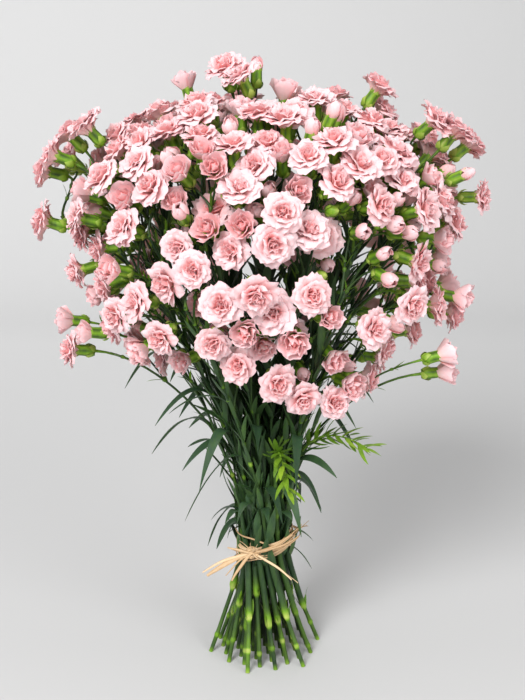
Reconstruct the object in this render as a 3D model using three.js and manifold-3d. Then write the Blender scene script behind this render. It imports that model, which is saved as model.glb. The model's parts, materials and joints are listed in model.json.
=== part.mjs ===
// A hand-tied bunch of spray carnations that stands on its own cut stem ends.
// Millimetres, +Z up. The origin is the middle of the centre stem's cut end, and the front faces -Y.
//
// Every stem goes through one spot of a close-packed lattice at the raffia tie. Away from the tie the
// lattice opens out and turns, as the stems of a spiral bunch do. Stems run straight from bend to
// bend, and above the tie each strays from its spot by less than the room between neighbours. The
// heads sit on a dome, each joined to the stem whose spot is nearest to its own.
import * as THREE from "three";
import { mergeVertices } from "three/addons/utils/BufferGeometryUtils.js";
import Module from "manifold-3d";

const wasm = await Module();
wasm.setup();

// Driving dimensions
const STEM_SPOTS = 43;
const SPOT_PITCH = 6.8;
const LATTICE_TURN = 0.17;
const TIE_HEIGHT = 112;
const FLARE_ABOVE = 0.0092;
const FLARE_CURVE = 0.000042;
const FLARE_BELOW = 0.0195;
const TWIST = 0.5;

const HEAD_COUNT = 311;
const HEAD_CENTRE = 432;
const HEAD_RADIUS = 178;
const HEAD_RISE = 122;
const HEAD_DROP = 200;
const HEAD_SPAN = 2.35;
const DOME_FULLNESS = 0.86;
const LOWER_TAPER = 2.2;
const LOWEST_FACING = -0.12;
const DOME_DEPTH = 0.84;
const DOME_BACK = 1;
const BELT_CROWDING = 0.04;
const FRONT_CROWDING = 0.16;
const SPRAY_LIFT = 8.4;
const GOLDEN_ANGLE = 2.399963;
const RIM_OF_SPOTS = 21.5;
const HEAD_SHARING = 0.62;

const FOOT_SIDES = 4;
const STEM_SIDES = 3;
const STEM_FOOT_RADIUS = 2.4;
const STEM_TIED_INRADIUS = 3.1;
const TIED_SPAN = 12;
const STEM_TIP_RADIUS = 1.5;
const JOINT_RADIUS = 3.9;
const STALK_RADIUS = 1.3;
const TWIG_RADIUS = 0.55;
const STALK_TOP_RADIUS = 1.5;
const STALK_BASE_LOWEST = 185;
const NODE_SPACING = 8;
const CALYX_LENGTH = 17;
const CALYX_RADIUS = 5.1;
const COMPANION_SHARE = 0.11;
const CLEARANCE = 0.9;
const SISTER_PRESS = 4;
const BLOOM_ROOM = 0.96;

const FUSE_TOLERANCE = 0.3;

const LEAF_THICKNESS = 1.3;
const LEAVES_PER_STEM = 3;
const LEAF_SHARE = 0.82;
const LEAF_LOWEST = 134;
const TIE_STRAND = 1.5;
const TIE_GAP = 0.7;

// The filler shoots that are tied in with the flowers: their spots, counted outwards from the middle,
// and how far each arches out and up from its stem
const FILLERS = [
  { spot: 32, reach: 48, rise: -16 },
  { spot: 33, reach: 68, rise: 10 },
];
const FILLER_STEM_TOP = 215;

const UP = new THREE.Vector3(0, 0, 1);

// The heights at which a stem may bend, and how far it strays from its spot there
const BENDS = [
  [0, 0], [50, 0], [TIE_HEIGHT - TIED_SPAN, 0], [TIE_HEIGHT + TIED_SPAN, 0],
  [180, 0.9], [260, 1.3], [350, 1.4], [450, 1.4], [600, 1.4],
];

// A number from 0 to 1 fixed by two whole numbers, so every run gives the same bunch.
function draw(index, channel) {
  let x = (Math.imul(index + 1, 374761393) + Math.imul(channel + 1, 668265263)) | 0;
  x = Math.imul(x ^ (x >>> 13), 1274126177);
  x ^= x >>> 16;
  return (x >>> 0) / 4294967296;
}

function spread(index, channel) {
  return 2 * draw(index, channel) - 1;
}

function clamp(value, low, high) {
  return Math.min(high, Math.max(low, value));
}

// The lattice spots nearest to the middle, nearest first and then by angle.
function latticeSpots() {
  const found = [];
  for (let row = -5; row <= 5; row += 1) {
    for (let column = -5; column <= 5; column += 1) {
      const x = (column + row / 2) * SPOT_PITCH;
      const y = row * SPOT_PITCH * Math.sqrt(0.75);
      found.push({ radius: Math.hypot(x, y), angle: Math.atan2(y, x) });
    }
  }
  const rank = (spot) => Math.round(spot.radius * 100) * 10 + spot.angle;
  found.sort((a, b) => rank(a) - rank(b));
  return found.slice(0, STEM_SPOTS).map((spot, index) => ({
    index,
    x: spot.radius * Math.cos(spot.angle + LATTICE_TURN),
    y: spot.radius * Math.sin(spot.angle + LATTICE_TURN),
  }));
}

// How far the lattice has opened out at height z: evenly below the tie, faster and faster above it
function opening(z) {
  const away = z - TIE_HEIGHT;
  return away > 0 ? FLARE_ABOVE * away + FLARE_CURVE * away * away : FLARE_BELOW * away;
}

function growth(z) {
  return Math.hypot(1, opening(z));
}

function turn(z) {
  return -TWIST * Math.atan(opening(z));
}

// Where the stem through a spot is at one of its bends.
function bendPoint(spot, n) {
  const [z, stray] = BENDS[n];
  const scale = growth(z);
  const angle = turn(z);
  const x = spot.x + stray * spread(spot.index, 40 + n);
  const y = spot.y + stray * spread(spot.index, 50 + n);
  return new THREE.Vector3(
    scale * (x * Math.cos(angle) - y * Math.sin(angle)),
    scale * (x * Math.sin(angle) + y * Math.cos(angle)),
    z,
  );
}

// Where the stem through a spot is at height z: it runs straight from bend to bend.
function stemPoint(spot, z) {
  let n = 1;
  while (n < BENDS.length - 1 && z > BENDS[n][0]) n += 1;
  const share = (z - BENDS[n - 1][0]) / (BENDS[n][0] - BENDS[n - 1][0]);
  return bendPoint(spot, n - 1).lerp(bendPoint(spot, n), share);
}

// The spot at the tie that a point above it leads back to.
function spotOf(point) {
  const scale = growth(point.z);
  const angle = -turn(point.z);
  return {
    x: (point.x * Math.cos(angle) - point.y * Math.sin(angle)) / scale,
    y: (point.x * Math.sin(angle) + point.y * Math.cos(angle)) / scale,
  };
}

const TIED_RADIUS = STEM_TIED_INRADIUS / Math.cos(Math.PI / 6);

// The stem's radius: it thins upwards, and old leaf sheaths thicken it where it is tied.
function stemRadius(z) {
  const sheath = Math.exp(-((Math.max(0, Math.abs(z - TIE_HEIGHT) - TIED_SPAN) / 16) ** 2));
  const plain = THREE.MathUtils.lerp(STEM_FOOT_RADIUS, STEM_TIP_RADIUS, clamp(z / 400, 0, 1));
  return plain + (TIED_RADIUS - plain) * sheath;
}

// One closed surface from rings of points set one after another. The rings may have different
// counts, a ring of one point closes an end, and a looped row of rings closes on itself.
function loft(rings, looped = false) {
  const positions = [];
  const starts = rings.map((ring) => {
    const start = positions.length / 3;
    ring.points.forEach((p) => positions.push(p.x, p.y, p.z));
    return start;
  });
  const faces = [];
  for (let k = 0; k + (looped ? 0 : 1) < rings.length; k += 1) {
    const next = (k + 1) % rings.length;
    const a = rings[k].points.length;
    const b = rings[next].points.length;
    const phase = (rings[next].phase || 0) - (rings[k].phase || 0);
    let i = 0;
    let j = 0;
    while (i < (a > 1 ? a : 0) || j < (b > 1 ? b : 0)) {
      const nextA = a > 1 && i < a ? (i + 1) / a : Infinity;
      const nextB = b > 1 && j < b ? (j + 1) / b + phase : Infinity;
      const onA = starts[k] + (i % a);
      const onB = starts[next] + (j % b);
      if (nextA <= nextB) {
        faces.push(onA, starts[k] + ((i + 1) % a), onB);
        i += 1;
      } else {
        faces.push(onA, starts[next] + ((j + 1) % b), onB);
        j += 1;
      }
    }
  }
  const closeEnd = (k, flip) => {
    const n = rings[k].points.length;
    for (let i = 1; i + 1 < n; i += 1) {
      faces.push(starts[k], starts[k] + (flip ? i + 1 : i), starts[k] + (flip ? i : i + 1));
    }
  };
  if (!looped) {
    closeEnd(0, true);
    closeEnd(rings.length - 1, false);
  }
  const geometry = new THREE.BufferGeometry();
  geometry.setAttribute("position", new THREE.Float32BufferAttribute(positions, 3));
  geometry.setIndex(faces);
  return geometry;
}

// A frame whose w runs along a direction.
function frameAlong(direction) {
  const w = direction.clone().normalize();
  const side = Math.abs(w.z) < 0.999 ? new THREE.Vector3().crossVectors(w, UP) : new THREE.Vector3(1, 0, 0);
  const u = side.normalize();
  return { u, v: new THREE.Vector3().crossVectors(w, u), w };
}

function sideways(frame, angle) {
  return frame.u.clone().multiplyScalar(Math.cos(angle)).addScaledVector(frame.v, Math.sin(angle));
}

// A ring round an axis: radius and height are numbers, or functions of the point's index.
function ring(centre, frame, sides, radius, height = 0, phase = 0, turned = 0) {
  const points = [];
  for (let i = 0; i < sides; i += 1) {
    const angle = 2 * Math.PI * (i / sides + phase) + turned;
    const r = typeof radius === "function" ? radius(i) : radius;
    const h = typeof height === "function" ? height(i) : height;
    points.push(
      centre
        .clone()
        .addScaledVector(frame.u, r * Math.cos(angle))
        .addScaledVector(frame.v, r * Math.sin(angle))
        .addScaledVector(frame.w, h),
    );
  }
  return { points, phase };
}

function tip(centre, frame, height) {
  return { points: [centre.clone().addScaledVector(frame.w, height)] };
}

function solidOf(geometry) {
  const mesh = new wasm.Mesh({
    numProp: 3,
    vertProperties: geometry.getAttribute("position").array,
    triVerts: new Uint32Array(geometry.index.array),
  });
  return new wasm.Manifold(mesh);
}

// The solids as one body: hollows that the fusing seals are filled, and loose scraps are dropped.
function fused(solids) {
  const bodies = wasm.Manifold.union(solids).decompose();
  bodies.sort((a, b) => b.volume() - a.volume());
  return bodies[0].simplify(FUSE_TOLERANCE);
}

function meshOf(solid, name, material) {
  const made = solid.getMesh();
  const geometry = new THREE.BufferGeometry();
  geometry.setAttribute("position", new THREE.BufferAttribute(new Float32Array(made.vertProperties), 3));
  geometry.setIndex(new THREE.BufferAttribute(new Uint32Array(made.triVerts), 1));
  const mesh = new THREE.Mesh(geometry, material);
  mesh.name = name;
  return mesh;
}

// Room taken up by what has been placed, as round-ended rods that belong to a spot.
const taken = [];

// A thin rod, such as a stem or a stalk, may meet other thin rods of its own spray, and a soft one,
// such as a bloom's petals, may be pressed into other soft ones of its own spray.
const THIN = 1;
const SOFT = 2;

function rod(a, b, radius, kind = 0) {
  return { a, b, radius, kind };
}

// The least distance between two straight pieces a and b.
function rodDistance(p, q) {
  const d1 = p.b.clone().sub(p.a);
  const d2 = q.b.clone().sub(q.a);
  const r = p.a.clone().sub(q.a);
  const a = Math.max(d1.lengthSq(), 1e-9);
  const e = Math.max(d2.lengthSq(), 1e-9);
  const b = d1.dot(d2);
  const c = d1.dot(r);
  const f = d2.dot(r);
  const denominator = Math.max(a * e - b * b, 1e-9);
  let s = clamp((b * f - c * e) / denominator, 0, 1);
  const t = clamp((b * s + f) / e, 0, 1);
  s = clamp((b * t - c) / a, 0, 1);
  return p.a.clone().addScaledVector(d1, s).distanceTo(q.a.clone().addScaledVector(d2, t));
}

function isClear(rods, owner) {
  return rods.every((mine) => {
    const reach = mine.a.distanceTo(mine.b) / 2 + mine.radius;
    const middle = mine.a.clone().lerp(mine.b, 0.5);
    return taken.every((other) => {
      const alike = other.owner === owner && other.kind === mine.kind;
      if (alike && mine.kind === THIN) return true;
      if (middle.distanceTo(other.middle) > reach + other.reach + CLEARANCE) return true;
      const room = alike && mine.kind === SOFT ? -SISTER_PRESS : CLEARANCE;
      return rodDistance(mine, other) > mine.radius + other.radius + room;
    });
  });
}

function take(rods, owner) {
  rods.forEach((one) => {
    const middle = one.a.clone().lerp(one.b, 0.5);
    taken.push({ ...one, owner, middle, reach: one.a.distanceTo(one.b) / 2 + one.radius });
  });
}

// The four stages of a head. Radius and length are of the petals beyond the calyx.
const OPEN = { name: "open", radius: 17.2, vary: 1.8, length: 13 };
const HALF = { name: "half", radius: 12, vary: 1.4, length: 16 };
const PINK_BUD = { name: "pink_bud", radius: 6.6, vary: 0.6, length: 12 };
const GREEN_BUD = { name: "green_bud", radius: 4.8, vary: 0.4, length: 13 };

function stageOf(index) {
  const share = draw(index, 1);
  if (share < 0.72) return OPEN;
  if (share < 0.9) return HALF;
  return PINK_BUD;
}

// Where head number k of the dome sits, and which way it faces. The heads are closest together in
// a belt round the middle and at the front.
function domeSite(k) {
  const order = (k + 0.5) / HEAD_COUNT;
  const share = order + BELT_CROWDING * Math.sin(2 * Math.PI * order);
  const polar = Math.acos(1 - (1 - Math.cos(HEAD_SPAN)) * share);
  const even = k * GOLDEN_ANGLE;
  const azimuth = even - FRONT_CROWDING * Math.cos(even);
  const out = new THREE.Vector3(Math.cos(azimuth), Math.sin(azimuth), 0);
  const depth = 1 - 0.09 * draw(k, 2);
  const across = Math.sin(polar) ** (polar < Math.PI / 2 ? DOME_FULLNESS : LOWER_TAPER);
  const along = Math.sign(Math.cos(polar)) * Math.abs(Math.cos(polar)) ** DOME_FULLNESS;
  const place = out.clone().multiplyScalar(HEAD_RADIUS * across * depth);
  place.y = DOME_DEPTH * place.y + DOME_BACK;
  place.z = HEAD_CENTRE + (along > 0 ? HEAD_RISE : HEAD_DROP) * along * depth;
  place.add(new THREE.Vector3(spread(k, 3), spread(k, 4), spread(k, 5)).multiplyScalar(4));
  const facing = out
    .multiplyScalar(Math.sin(polar) / HEAD_RADIUS)
    .addScaledVector(UP, Math.max(LOWEST_FACING, Math.cos(polar)) / HEAD_RISE)
    .normalize();
  return { place, facing };
}

// Heads that hang low at the front, and heads that stand out from the dome on long side shoots:
// millimetres to the right, to the back and up
const STRAYS = [
  [33, -78, 291], [61, -64, 281], [10, -90, 308], [-30, -84, 306], [80, -66, 298],
  [-176, -30, 322], [-160, -46, 342], [-184, -8, 345], [-150, -20, 304], [-132, -50, 326],
  [164, -30, 300], [160, -52, 322], [172, -6, 352], [176, -30, 372],
  [-199, 0, 484], [-194, -22, 502], [-198, -20, 440], [-176, -6, 516], [-184, 30, 494], [-160, -24, 524],
  [195, -10, 462], [186, 10, 506], [168, -20, 518], [178, -34, 484], [150, -30, 530],
  [-34, -10, 572], [-8, 6, 576], [-20, -34, 566], [-72, 10, 560], [100, -6, 556], [118, 12, 548],
];

function straySite(n) {
  const place = new THREE.Vector3(...STRAYS[n]);
  const lowest = LOWEST_FACING * Math.hypot(place.x, place.y);
  const rise = Math.max(lowest, 0.8 * (place.z - 400));
  const facing = new THREE.Vector3(place.x, place.y, rise).normalize();
  return { place, facing };
}

const RIM_RADIUS = 3.2;

// The rods that stand for one head and its stalk.
function headRods(head) {
  const { base, facing, start, stage, radius } = head;
  const frame = frameAlong(facing);
  const at = (height) => base.clone().addScaledVector(frame.w, height);
  const rods = [rod(start, base, STALK_RADIUS, THIN)];
  if (stage === GREEN_BUD) return [...rods, rod(at(4), at(stage.length - 4), radius)];
  rods.push(rod(base, at(CALYX_LENGTH), CALYX_RADIUS));
  const petals = (low, high) => {
    return rod(at(CALYX_LENGTH + low), at(CALYX_LENGTH + stage.length - high), BLOOM_ROOM * radius, SOFT);
  };
  if (stage === PINK_BUD) return [...rods, petals(0, 5)];
  if (stage === HALF) return [...rods, petals(6, 7)];
  rods.push(rod(at(CALYX_LENGTH + 2), at(CALYX_LENGTH + 6), 9, SOFT));
  const corners = ring(at(CALYX_LENGTH + 4), frame, 6, BLOOM_ROOM * radius - RIM_RADIUS).points;
  corners.forEach((corner, i) => rods.push(rod(corner, corners[(i + 1) % 6], RIM_RADIUS, SOFT)));
  return rods;
}

// Stem plans: each spot's heads, and how high its own stem goes.
const spots = latticeSpots();
const plans = spots.map((spot, index) => ({
  spot,
  index,
  filler: FILLERS.find((filler) => filler.spot === index),
  heads: [],
  sites: [],
  top: 0,
}));

// The stem for a head: the one whose spot is nearest, with those that have fewer heads preferred.
function nearestPlan(point) {
  const here = spotOf(point);
  const inward = Math.min(1, RIM_OF_SPOTS / Math.hypot(here.x, here.y));
  let best = null;
  let least = Infinity;
  plans.forEach((plan) => {
    const apart = Math.hypot(plan.spot.x - inward * here.x, plan.spot.y - inward * here.y);
    const away = apart + HEAD_SHARING * plan.sites.length;
    if (!plan.filler && away < least) {
      least = away;
      best = plan;
    }
  });
  return best;
}

// How high on its stem a stalk starts: lower for a head that is further out.
function stalkStart(plan, base, k) {
  const near = stemPoint(plan.spot, base.z - 45);
  const reach = Math.hypot(base.x - near.x, base.y - near.y);
  return Math.max(STALK_BASE_LOWEST + 40 * draw(k, 17), base.z - 34 - 22 * draw(k, 6) - 0.5 * reach);
}

// The strays come first, then the dome from its top down. Each spray stands out or in by its own lift.
function planSites() {
  for (let k = -STRAYS.length; k < HEAD_COUNT; k += 1) {
    const site = k < 0 ? straySite(k + STRAYS.length) : domeSite(k);
    const plan = nearestPlan(site.place);
    if (k >= 0) site.place.addScaledVector(site.facing, SPRAY_LIFT * spread(plan.index, 16));
    const base = site.place.clone().addScaledVector(site.facing, -CALYX_LENGTH);
    plan.sites.push({ k, ...site });
    plan.top = Math.max(plan.top, stalkStart(plan, base, k));
  }
}

function placeStems() {
  plans.forEach((plan) => {
    if (plan.filler) plan.top = FILLER_STEM_TOP;
    for (let z = 0; z < plan.top; z += 12) {
      const high = Math.min(z + 12, plan.top);
      const radius = stemRadius((z + high) / 2) + 0.1;
      take([rod(stemPoint(plan.spot, z), stemPoint(plan.spot, high), radius, THIN)], plan.index);
    }
  });
}

// The point that a stalk grows from: its stem, clear of the other stalks' nodes there, or the middle
// of a sister's stalk if that is closer.
function rootOf(plan, base, k) {
  let z = Math.min(plan.top, stalkStart(plan, base, k));
  const nodes = plan.heads.filter((sister) => !sister.forked).map((sister) => sister.start.z);
  while (z > STALK_BASE_LOWEST && nodes.some((node) => Math.abs(node - z) < NODE_SPACING)) z -= 3;
  let root = stemPoint(plan.spot, z);
  plan.heads.forEach((sister) => {
    if (sister.forked) return;
    const fork = sister.start.clone().lerp(sister.base, 0.5);
    const shorter = fork.distanceTo(base) < 0.72 * root.distanceTo(base);
    if (shorter && base.z - fork.z > 18) root = fork;
  });
  return root;
}

// The last try at which a head keeps its own stage, the last at which an open one may be half open,
// and the last of all
const TRIES_AS_WANTED = 14;
const TRIES_HALF_OPEN = 17;
const TRIES = 20;
const STEP_IN = 3.4;

function stageAt(k, attempt) {
  const wanted = stageOf(k);
  if (attempt < TRIES_AS_WANTED) return wanted;
  return attempt < TRIES_HALF_OPEN && wanted === OPEN ? HALF : PINK_BUD;
}

// Heads are placed from the top of the dome down. One that meets a neighbour is tried deeper in,
// turned a little, and at last as a smaller stage.
function placeHeads() {
  const ordered = plans.flatMap((plan) => plan.sites.map((site) => ({ plan, ...site })));
  ordered.sort((a, b) => a.k - b.k);
  ordered.forEach(({ plan, k, place, facing }) => {
    for (let attempt = 0; attempt < TRIES; attempt += 1) {
      const seed = k + 1000 * attempt;
      const stage = stageAt(k, attempt);
      const radius = stage.radius + stage.vary * spread(seed, 7);
      const lean = new THREE.Vector3(spread(seed, 8), spread(seed, 9), 0.3 + spread(seed, 10));
      const way = facing.clone().addScaledVector(lean, 0.3).normalize();
      const shift = -STEP_IN * (attempt % TRIES_AS_WANTED);
      const seat = place.clone().addScaledVector(facing, shift);
      const base = seat.addScaledVector(way, -CALYX_LENGTH);
      const start = rootOf(plan, base, k);
      const forked = start.distanceTo(stemPoint(plan.spot, start.z)) > 0.01;
      const head = { k, base, facing: way, start, forked, stage, radius };
      const rods = headRods(head);
      if (isClear(rods, plan.index)) {
        take(rods, plan.index);
        plan.heads.push(head);
        break;
      }
    }
  });
}

// Small green buds that sit beside some of the heads, on short stalks of their own.
function placeCompanions() {
  plans.forEach((plan) => {
    plan.heads.slice().forEach((head) => {
      if (draw(head.k, 11) > COMPANION_SHARE) return;
      for (let attempt = 0; attempt < 6; attempt += 1) {
        const seed = head.k + 5000 + 1000 * attempt;
        const frame = frameAlong(head.facing);
        const angle = 2 * Math.PI * draw(seed, 12);
        const aside = sideways(frame, angle);
        const start = head.start.clone().lerp(head.base, 0.62);
        const base = head.base.clone().addScaledVector(aside, 11 + 3 * draw(seed, 13));
        base.addScaledVector(head.facing, -6 + 4 * draw(seed, 14));
        const facing = head.facing.clone().addScaledVector(aside, 0.5).normalize();
        const radius = GREEN_BUD.radius + GREEN_BUD.vary * spread(seed, 15);
        const bud = { k: seed, base, facing, start, forked: true, stage: GREEN_BUD, radius };
        const rods = headRods(bud);
        const ownRoom = plan.heads.every((other) => other === head || other.base.distanceTo(base) > 12);
        if (ownRoom && isClear(rods, plan.index)) {
          take(rods, plan.index);
          plan.heads.push(bud);
          break;
        }
      }
    });
  });
}

// How the lowest leaf of a stem, near the tie, and the ones above it bend: shares of their length up
// and out, the least droop and what may be added to it, and their least length and half width
const HANGING = { up: 0.2, out: 0.55, droop: 0.3, sag: 0.5, length: 46, width: 4 };
const ARCHING = { up: 0.42, out: 0.8, droop: -0.15, sag: 0.85, length: 58, width: 3.4 };

// Long narrow leaves that arch out of the outer stems, in the stretch where the stems show.
function placeLeaves() {
  plans.forEach((plan) => {
    plan.leaves = [];
    const outer = Math.hypot(plan.spot.x, plan.spot.y) > 2.2 * SPOT_PITCH;
    if (plan.filler || !outer) return;
    for (let n = 0; n < LEAVES_PER_STEM; n += 1) {
      if (draw(plan.index * 10 + n, 19) > LEAF_SHARE) continue;
      for (let attempt = 0; attempt < 8; attempt += 1) {
        const seed = plan.index * 10 + n + 1000 * attempt;
        const z = LEAF_LOWEST + 64 * n + 56 * draw(seed, 20);
        if (z > plan.top - 10) continue;
        const root = stemPoint(plan.spot, z);
        const outAngle = Math.atan2(root.y, root.x) + 0.9 * spread(seed, 21);
        const out = new THREE.Vector3(Math.cos(outAngle), Math.sin(outAngle), 0);
        const habit = n === 0 ? HANGING : ARCHING;
        const length = habit.length + 26 * draw(seed, 22);
        const droop = habit.droop + habit.sag * draw(seed, 23);
        const bend = root.clone().addScaledVector(out, 0.3 * length).addScaledVector(UP, habit.up * length);
        const end = root.clone().addScaledVector(out, habit.out * length);
        end.addScaledVector(UP, -droop * length);
        const curve = new THREE.QuadraticBezierCurve3(root, bend, end);
        const width = habit.width + 1.1 * draw(seed, 24);
        const marks = curve.getPoints(6);
        const reach = (i) => (i === 0 || i === 5 ? 2.4 : width);
        const rods = marks.slice(1).map((mark, i) => rod(marks[i], mark, reach(i), i < 2 ? THIN : 0));
        if (isClear(rods, plan.index)) {
          take(rods, plan.index);
          plan.leaves.push({ curve, width });
          break;
        }
      }
    }
  });
}

// The raffia: how far out a strand lies round the bunch at height z.
function tieRadius(z) {
  const outermost = Math.max(...spots.map((spot) => Math.hypot(spot.x, spot.y)));
  return (outermost + TIED_RADIUS) * growth(z) + TIE_GAP + TIE_STRAND;
}

const KNOT_ANGLE = -1.95;
const TIE_TURNS = 18;
// The wound band, seen in section: how far out and up each of its points is, round from its top
const BAND_SECTION = [[0, 9.4], [2.6, 7], [1.6, 4.2], [3, 1.4], [1.7, -1.4], [2.8, -4.4], [0.4, -7.6]];
const STRAND_SECTION = [[0, 2.6], [TIE_STRAND, 0], [0, -2.6], [-TIE_STRAND, 0]];
const BAND = { height: TIE_HEIGHT + 8, tilt: 3, layer: -TIE_STRAND, section: BAND_SECTION, phase: 0 };
const TOP_STRAND = { height: TIE_HEIGHT + 10, tilt: -5, layer: 2, section: STRAND_SECTION, phase: 0.37 };
// Loose ends: the way each leaves the knot, its droop, its length and half its width
const TIE_ENDS = [
  { across: -0.78, rise: -0.42, forward: 0.3, length: 60, width: 2.6 },
  { across: -0.42, rise: -0.62, forward: 0.35, length: 44, width: 1.6 },
  { across: 1, rise: 0.6, forward: 0.15, length: 48, width: 1.8 },
  { across: 1.15, rise: -0.42, forward: 0.2, length: 42, width: 1.2 },
  { across: -0.8, rise: 0.25, forward: 0.45, length: 30, width: 1.2 },
];

// A point of a loop's section, out and up from the middle of the loop at that angle
function tiePoint(loop, angle, out = 0, up = 0) {
  const z = loop.height - loop.tilt * Math.cos(angle - KNOT_ANGLE) + up;
  const r = tieRadius(z) + loop.layer + out;
  return new THREE.Vector3(r * Math.cos(angle), r * Math.sin(angle), z);
}

function tieKnot() {
  return tiePoint(BAND, KNOT_ANGLE).addScaledVector(
    new THREE.Vector3(Math.cos(KNOT_ANGLE), Math.sin(KNOT_ANGLE), 0),
    4.4,
  );
}

function tieEndCurve(end) {
  const knot = tieKnot();
  const out = new THREE.Vector3(Math.cos(KNOT_ANGLE), Math.sin(KNOT_ANGLE), 0);
  const across = new THREE.Vector3(-out.y, out.x, 0);
  const way = out.clone().multiplyScalar(end.forward).addScaledVector(across, end.across);
  const drop = end.rise * end.length;
  const bend = knot.clone().addScaledVector(way, 0.5 * end.length).addScaledVector(UP, 0.3 * drop);
  const far = knot.clone().addScaledVector(way, 0.9 * end.length).addScaledVector(UP, drop);
  return new THREE.QuadraticBezierCurve3(knot, bend, far);
}

function placeTie() {
  for (let i = 0; i < TIE_TURNS; i += 1) {
    const a = tiePoint(BAND, (2 * Math.PI * i) / TIE_TURNS);
    const b = tiePoint(BAND, (2 * Math.PI * (i + 1)) / TIE_TURNS);
    take([rod(a, b, 9)], "tie");
  }
  TIE_ENDS.forEach((end) => {
    const marks = tieEndCurve(end).getPoints(5);
    marks.slice(1).forEach((mark, i) => take([rod(marks[i], mark, end.width + 0.3)], "tie"));
  });
}

// Filler shoots: a bare stem that arches out over the flowers' stems, with leaflets at its end
const FILLER_LEAFLETS = 12;

function fillerCurve(plan) {
  const root = stemPoint(plan.spot, plan.top);
  const below = stemPoint(plan.spot, plan.top - 20);
  const rise = root.clone().sub(below).normalize();
  const out = new THREE.Vector3(root.x, root.y, 0).normalize();
  const bend = root.clone().addScaledVector(rise, 38).addScaledVector(out, 12);
  const end = root.clone().addScaledVector(out, plan.filler.reach).addScaledVector(UP, plan.filler.rise);
  return new THREE.QuadraticBezierCurve3(root, bend, end);
}

function fillerLeaflet(plan, curve, n) {
  const share = 0.3 + (0.66 * n) / (FILLER_LEAFLETS - 1);
  const root = curve.getPoint(share);
  const frame = frameAlong(curve.getTangent(share));
  const angle = n * GOLDEN_ANGLE + plan.index;
  const aside = sideways(frame, angle);
  const length = 25 - 7 * share;
  const end = root.clone().addScaledVector(frame.w, 0.75 * length).addScaledVector(aside, 0.62 * length);
  const bend = root.clone().addScaledVector(frame.w, 0.3 * length).addScaledVector(aside, 0.42 * length);
  return { curve: new THREE.QuadraticBezierCurve3(root, bend, end), width: 2.2 };
}

function placeFillers() {
  plans.filter((plan) => plan.filler).forEach((plan) => {
    const curve = fillerCurve(plan);
    const marks = curve.getPoints(6);
    take(marks.slice(1).map((mark, i) => rod(marks[i], mark, i > 1 ? 13 : 1.8)), plan.index);
  });
}

// A stem: four-sided at its foot, six-sided at the tie, where its flats face those of its neighbours,
// and three-sided above.
function stemSolid(plan) {
  const flat = { u: new THREE.Vector3(1, 0, 0), v: new THREE.Vector3(0, 1, 0), w: UP };
  const outer = Math.hypot(plan.spot.x, plan.spot.y) > 2.5 * SPOT_PITCH;
  const jointHeight = 34 + 36 * draw(plan.index, 30);
  const joint = [
    [jointHeight - 9, STEM_FOOT_RADIUS],
    [jointHeight, JOINT_RADIUS],
    [jointHeight + 4, STEM_FOOT_RADIUS],
  ];
  const levels = [
    [0, STEM_FOOT_RADIUS],
    ...(outer ? joint : []),
    [TIE_HEIGHT - TIED_SPAN, TIED_RADIUS],
    [TIE_HEIGHT + TIED_SPAN, TIED_RADIUS],
  ];
  BENDS.filter(([z]) => z > TIE_HEIGHT + TIED_SPAN && z < plan.top - 12).forEach(([z]) => {
    levels.push([z, stemRadius(z)]);
  });
  levels.push([plan.top + 2.5, stemRadius(plan.top)]);
  const sides = (z) => {
    if (Math.abs(z - TIE_HEIGHT) <= TIED_SPAN) return 6;
    return z < TIE_HEIGHT ? FOOT_SIDES : STEM_SIDES;
  };
  const turned = (z) => (z > TIE_HEIGHT + TIED_SPAN ? 0 : turn(z)) + LATTICE_TURN + Math.PI / 6;
  const rings = levels.map(([z, radius]) => {
    return ring(stemPoint(plan.spot, z), flat, sides(z), radius, 0, 0, turned(z));
  });
  return solidOf(loft(rings));
}

// The stalk's two rings, turned alike so that its sides are flat
function stalkRings(head, frame) {
  const w = head.base.clone().sub(head.start).normalize();
  const u = frame.u.clone().addScaledVector(w, -frame.u.dot(w)).normalize();
  const along = { u, v: new THREE.Vector3().crossVectors(w, u), w };
  const thickness = head.forked ? TWIG_RADIUS : STALK_RADIUS;
  return [ring(head.start, along, 3, thickness), ring(head.base, along, 3, STALK_TOP_RADIUS)];
}

// An open head: a tapering calyx, a spread ring of five notched petals and a raised inner crown.
function openHead(head, frame) {
  const { base, radius } = head;
  const rim = (i) => (i % 2 === 0 ? radius : 0.74 * radius);
  const rise = (i) => CALYX_LENGTH + (i % 2 === 0 ? 3.2 : 5.6);
  return [
    ring(base, frame, 4, CALYX_RADIUS, CALYX_LENGTH),
    ring(base, frame, 10, rim, rise),
    ring(base, frame, 5, 0.5 * radius, CALYX_LENGTH + 10, 0.1),
  ];
}

function halfHead(head, frame) {
  const { base, radius } = head;
  return [
    ring(base, frame, 4, CALYX_RADIUS, CALYX_LENGTH),
    ring(base, frame, 5, radius, CALYX_LENGTH + 11, 0.1),
    tip(base, frame, CALYX_LENGTH + 14),
  ];
}

function pinkBud(head, frame) {
  const { base, radius, stage } = head;
  return [
    ring(base, frame, 4, CALYX_RADIUS, CALYX_LENGTH - 1),
    ring(base, frame, 4, 0.86 * radius, CALYX_LENGTH + 5, 0.125),
    tip(base, frame, CALYX_LENGTH + stage.length),
  ];
}

function greenBud(head, frame) {
  const { base, radius, stage } = head;
  return [ring(base, frame, 4, radius, 0.45 * stage.length), tip(base, frame, stage.length)];
}

const SHAPES = { open: openHead, half: halfHead, pink_bud: pinkBud, green_bud: greenBud };

function headSolid(head) {
  const frame = frameAlong(head.facing);
  return solidOf(loft([...stalkRings(head, frame), ...SHAPES[head.stage.name](head, frame)]));
}

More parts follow.
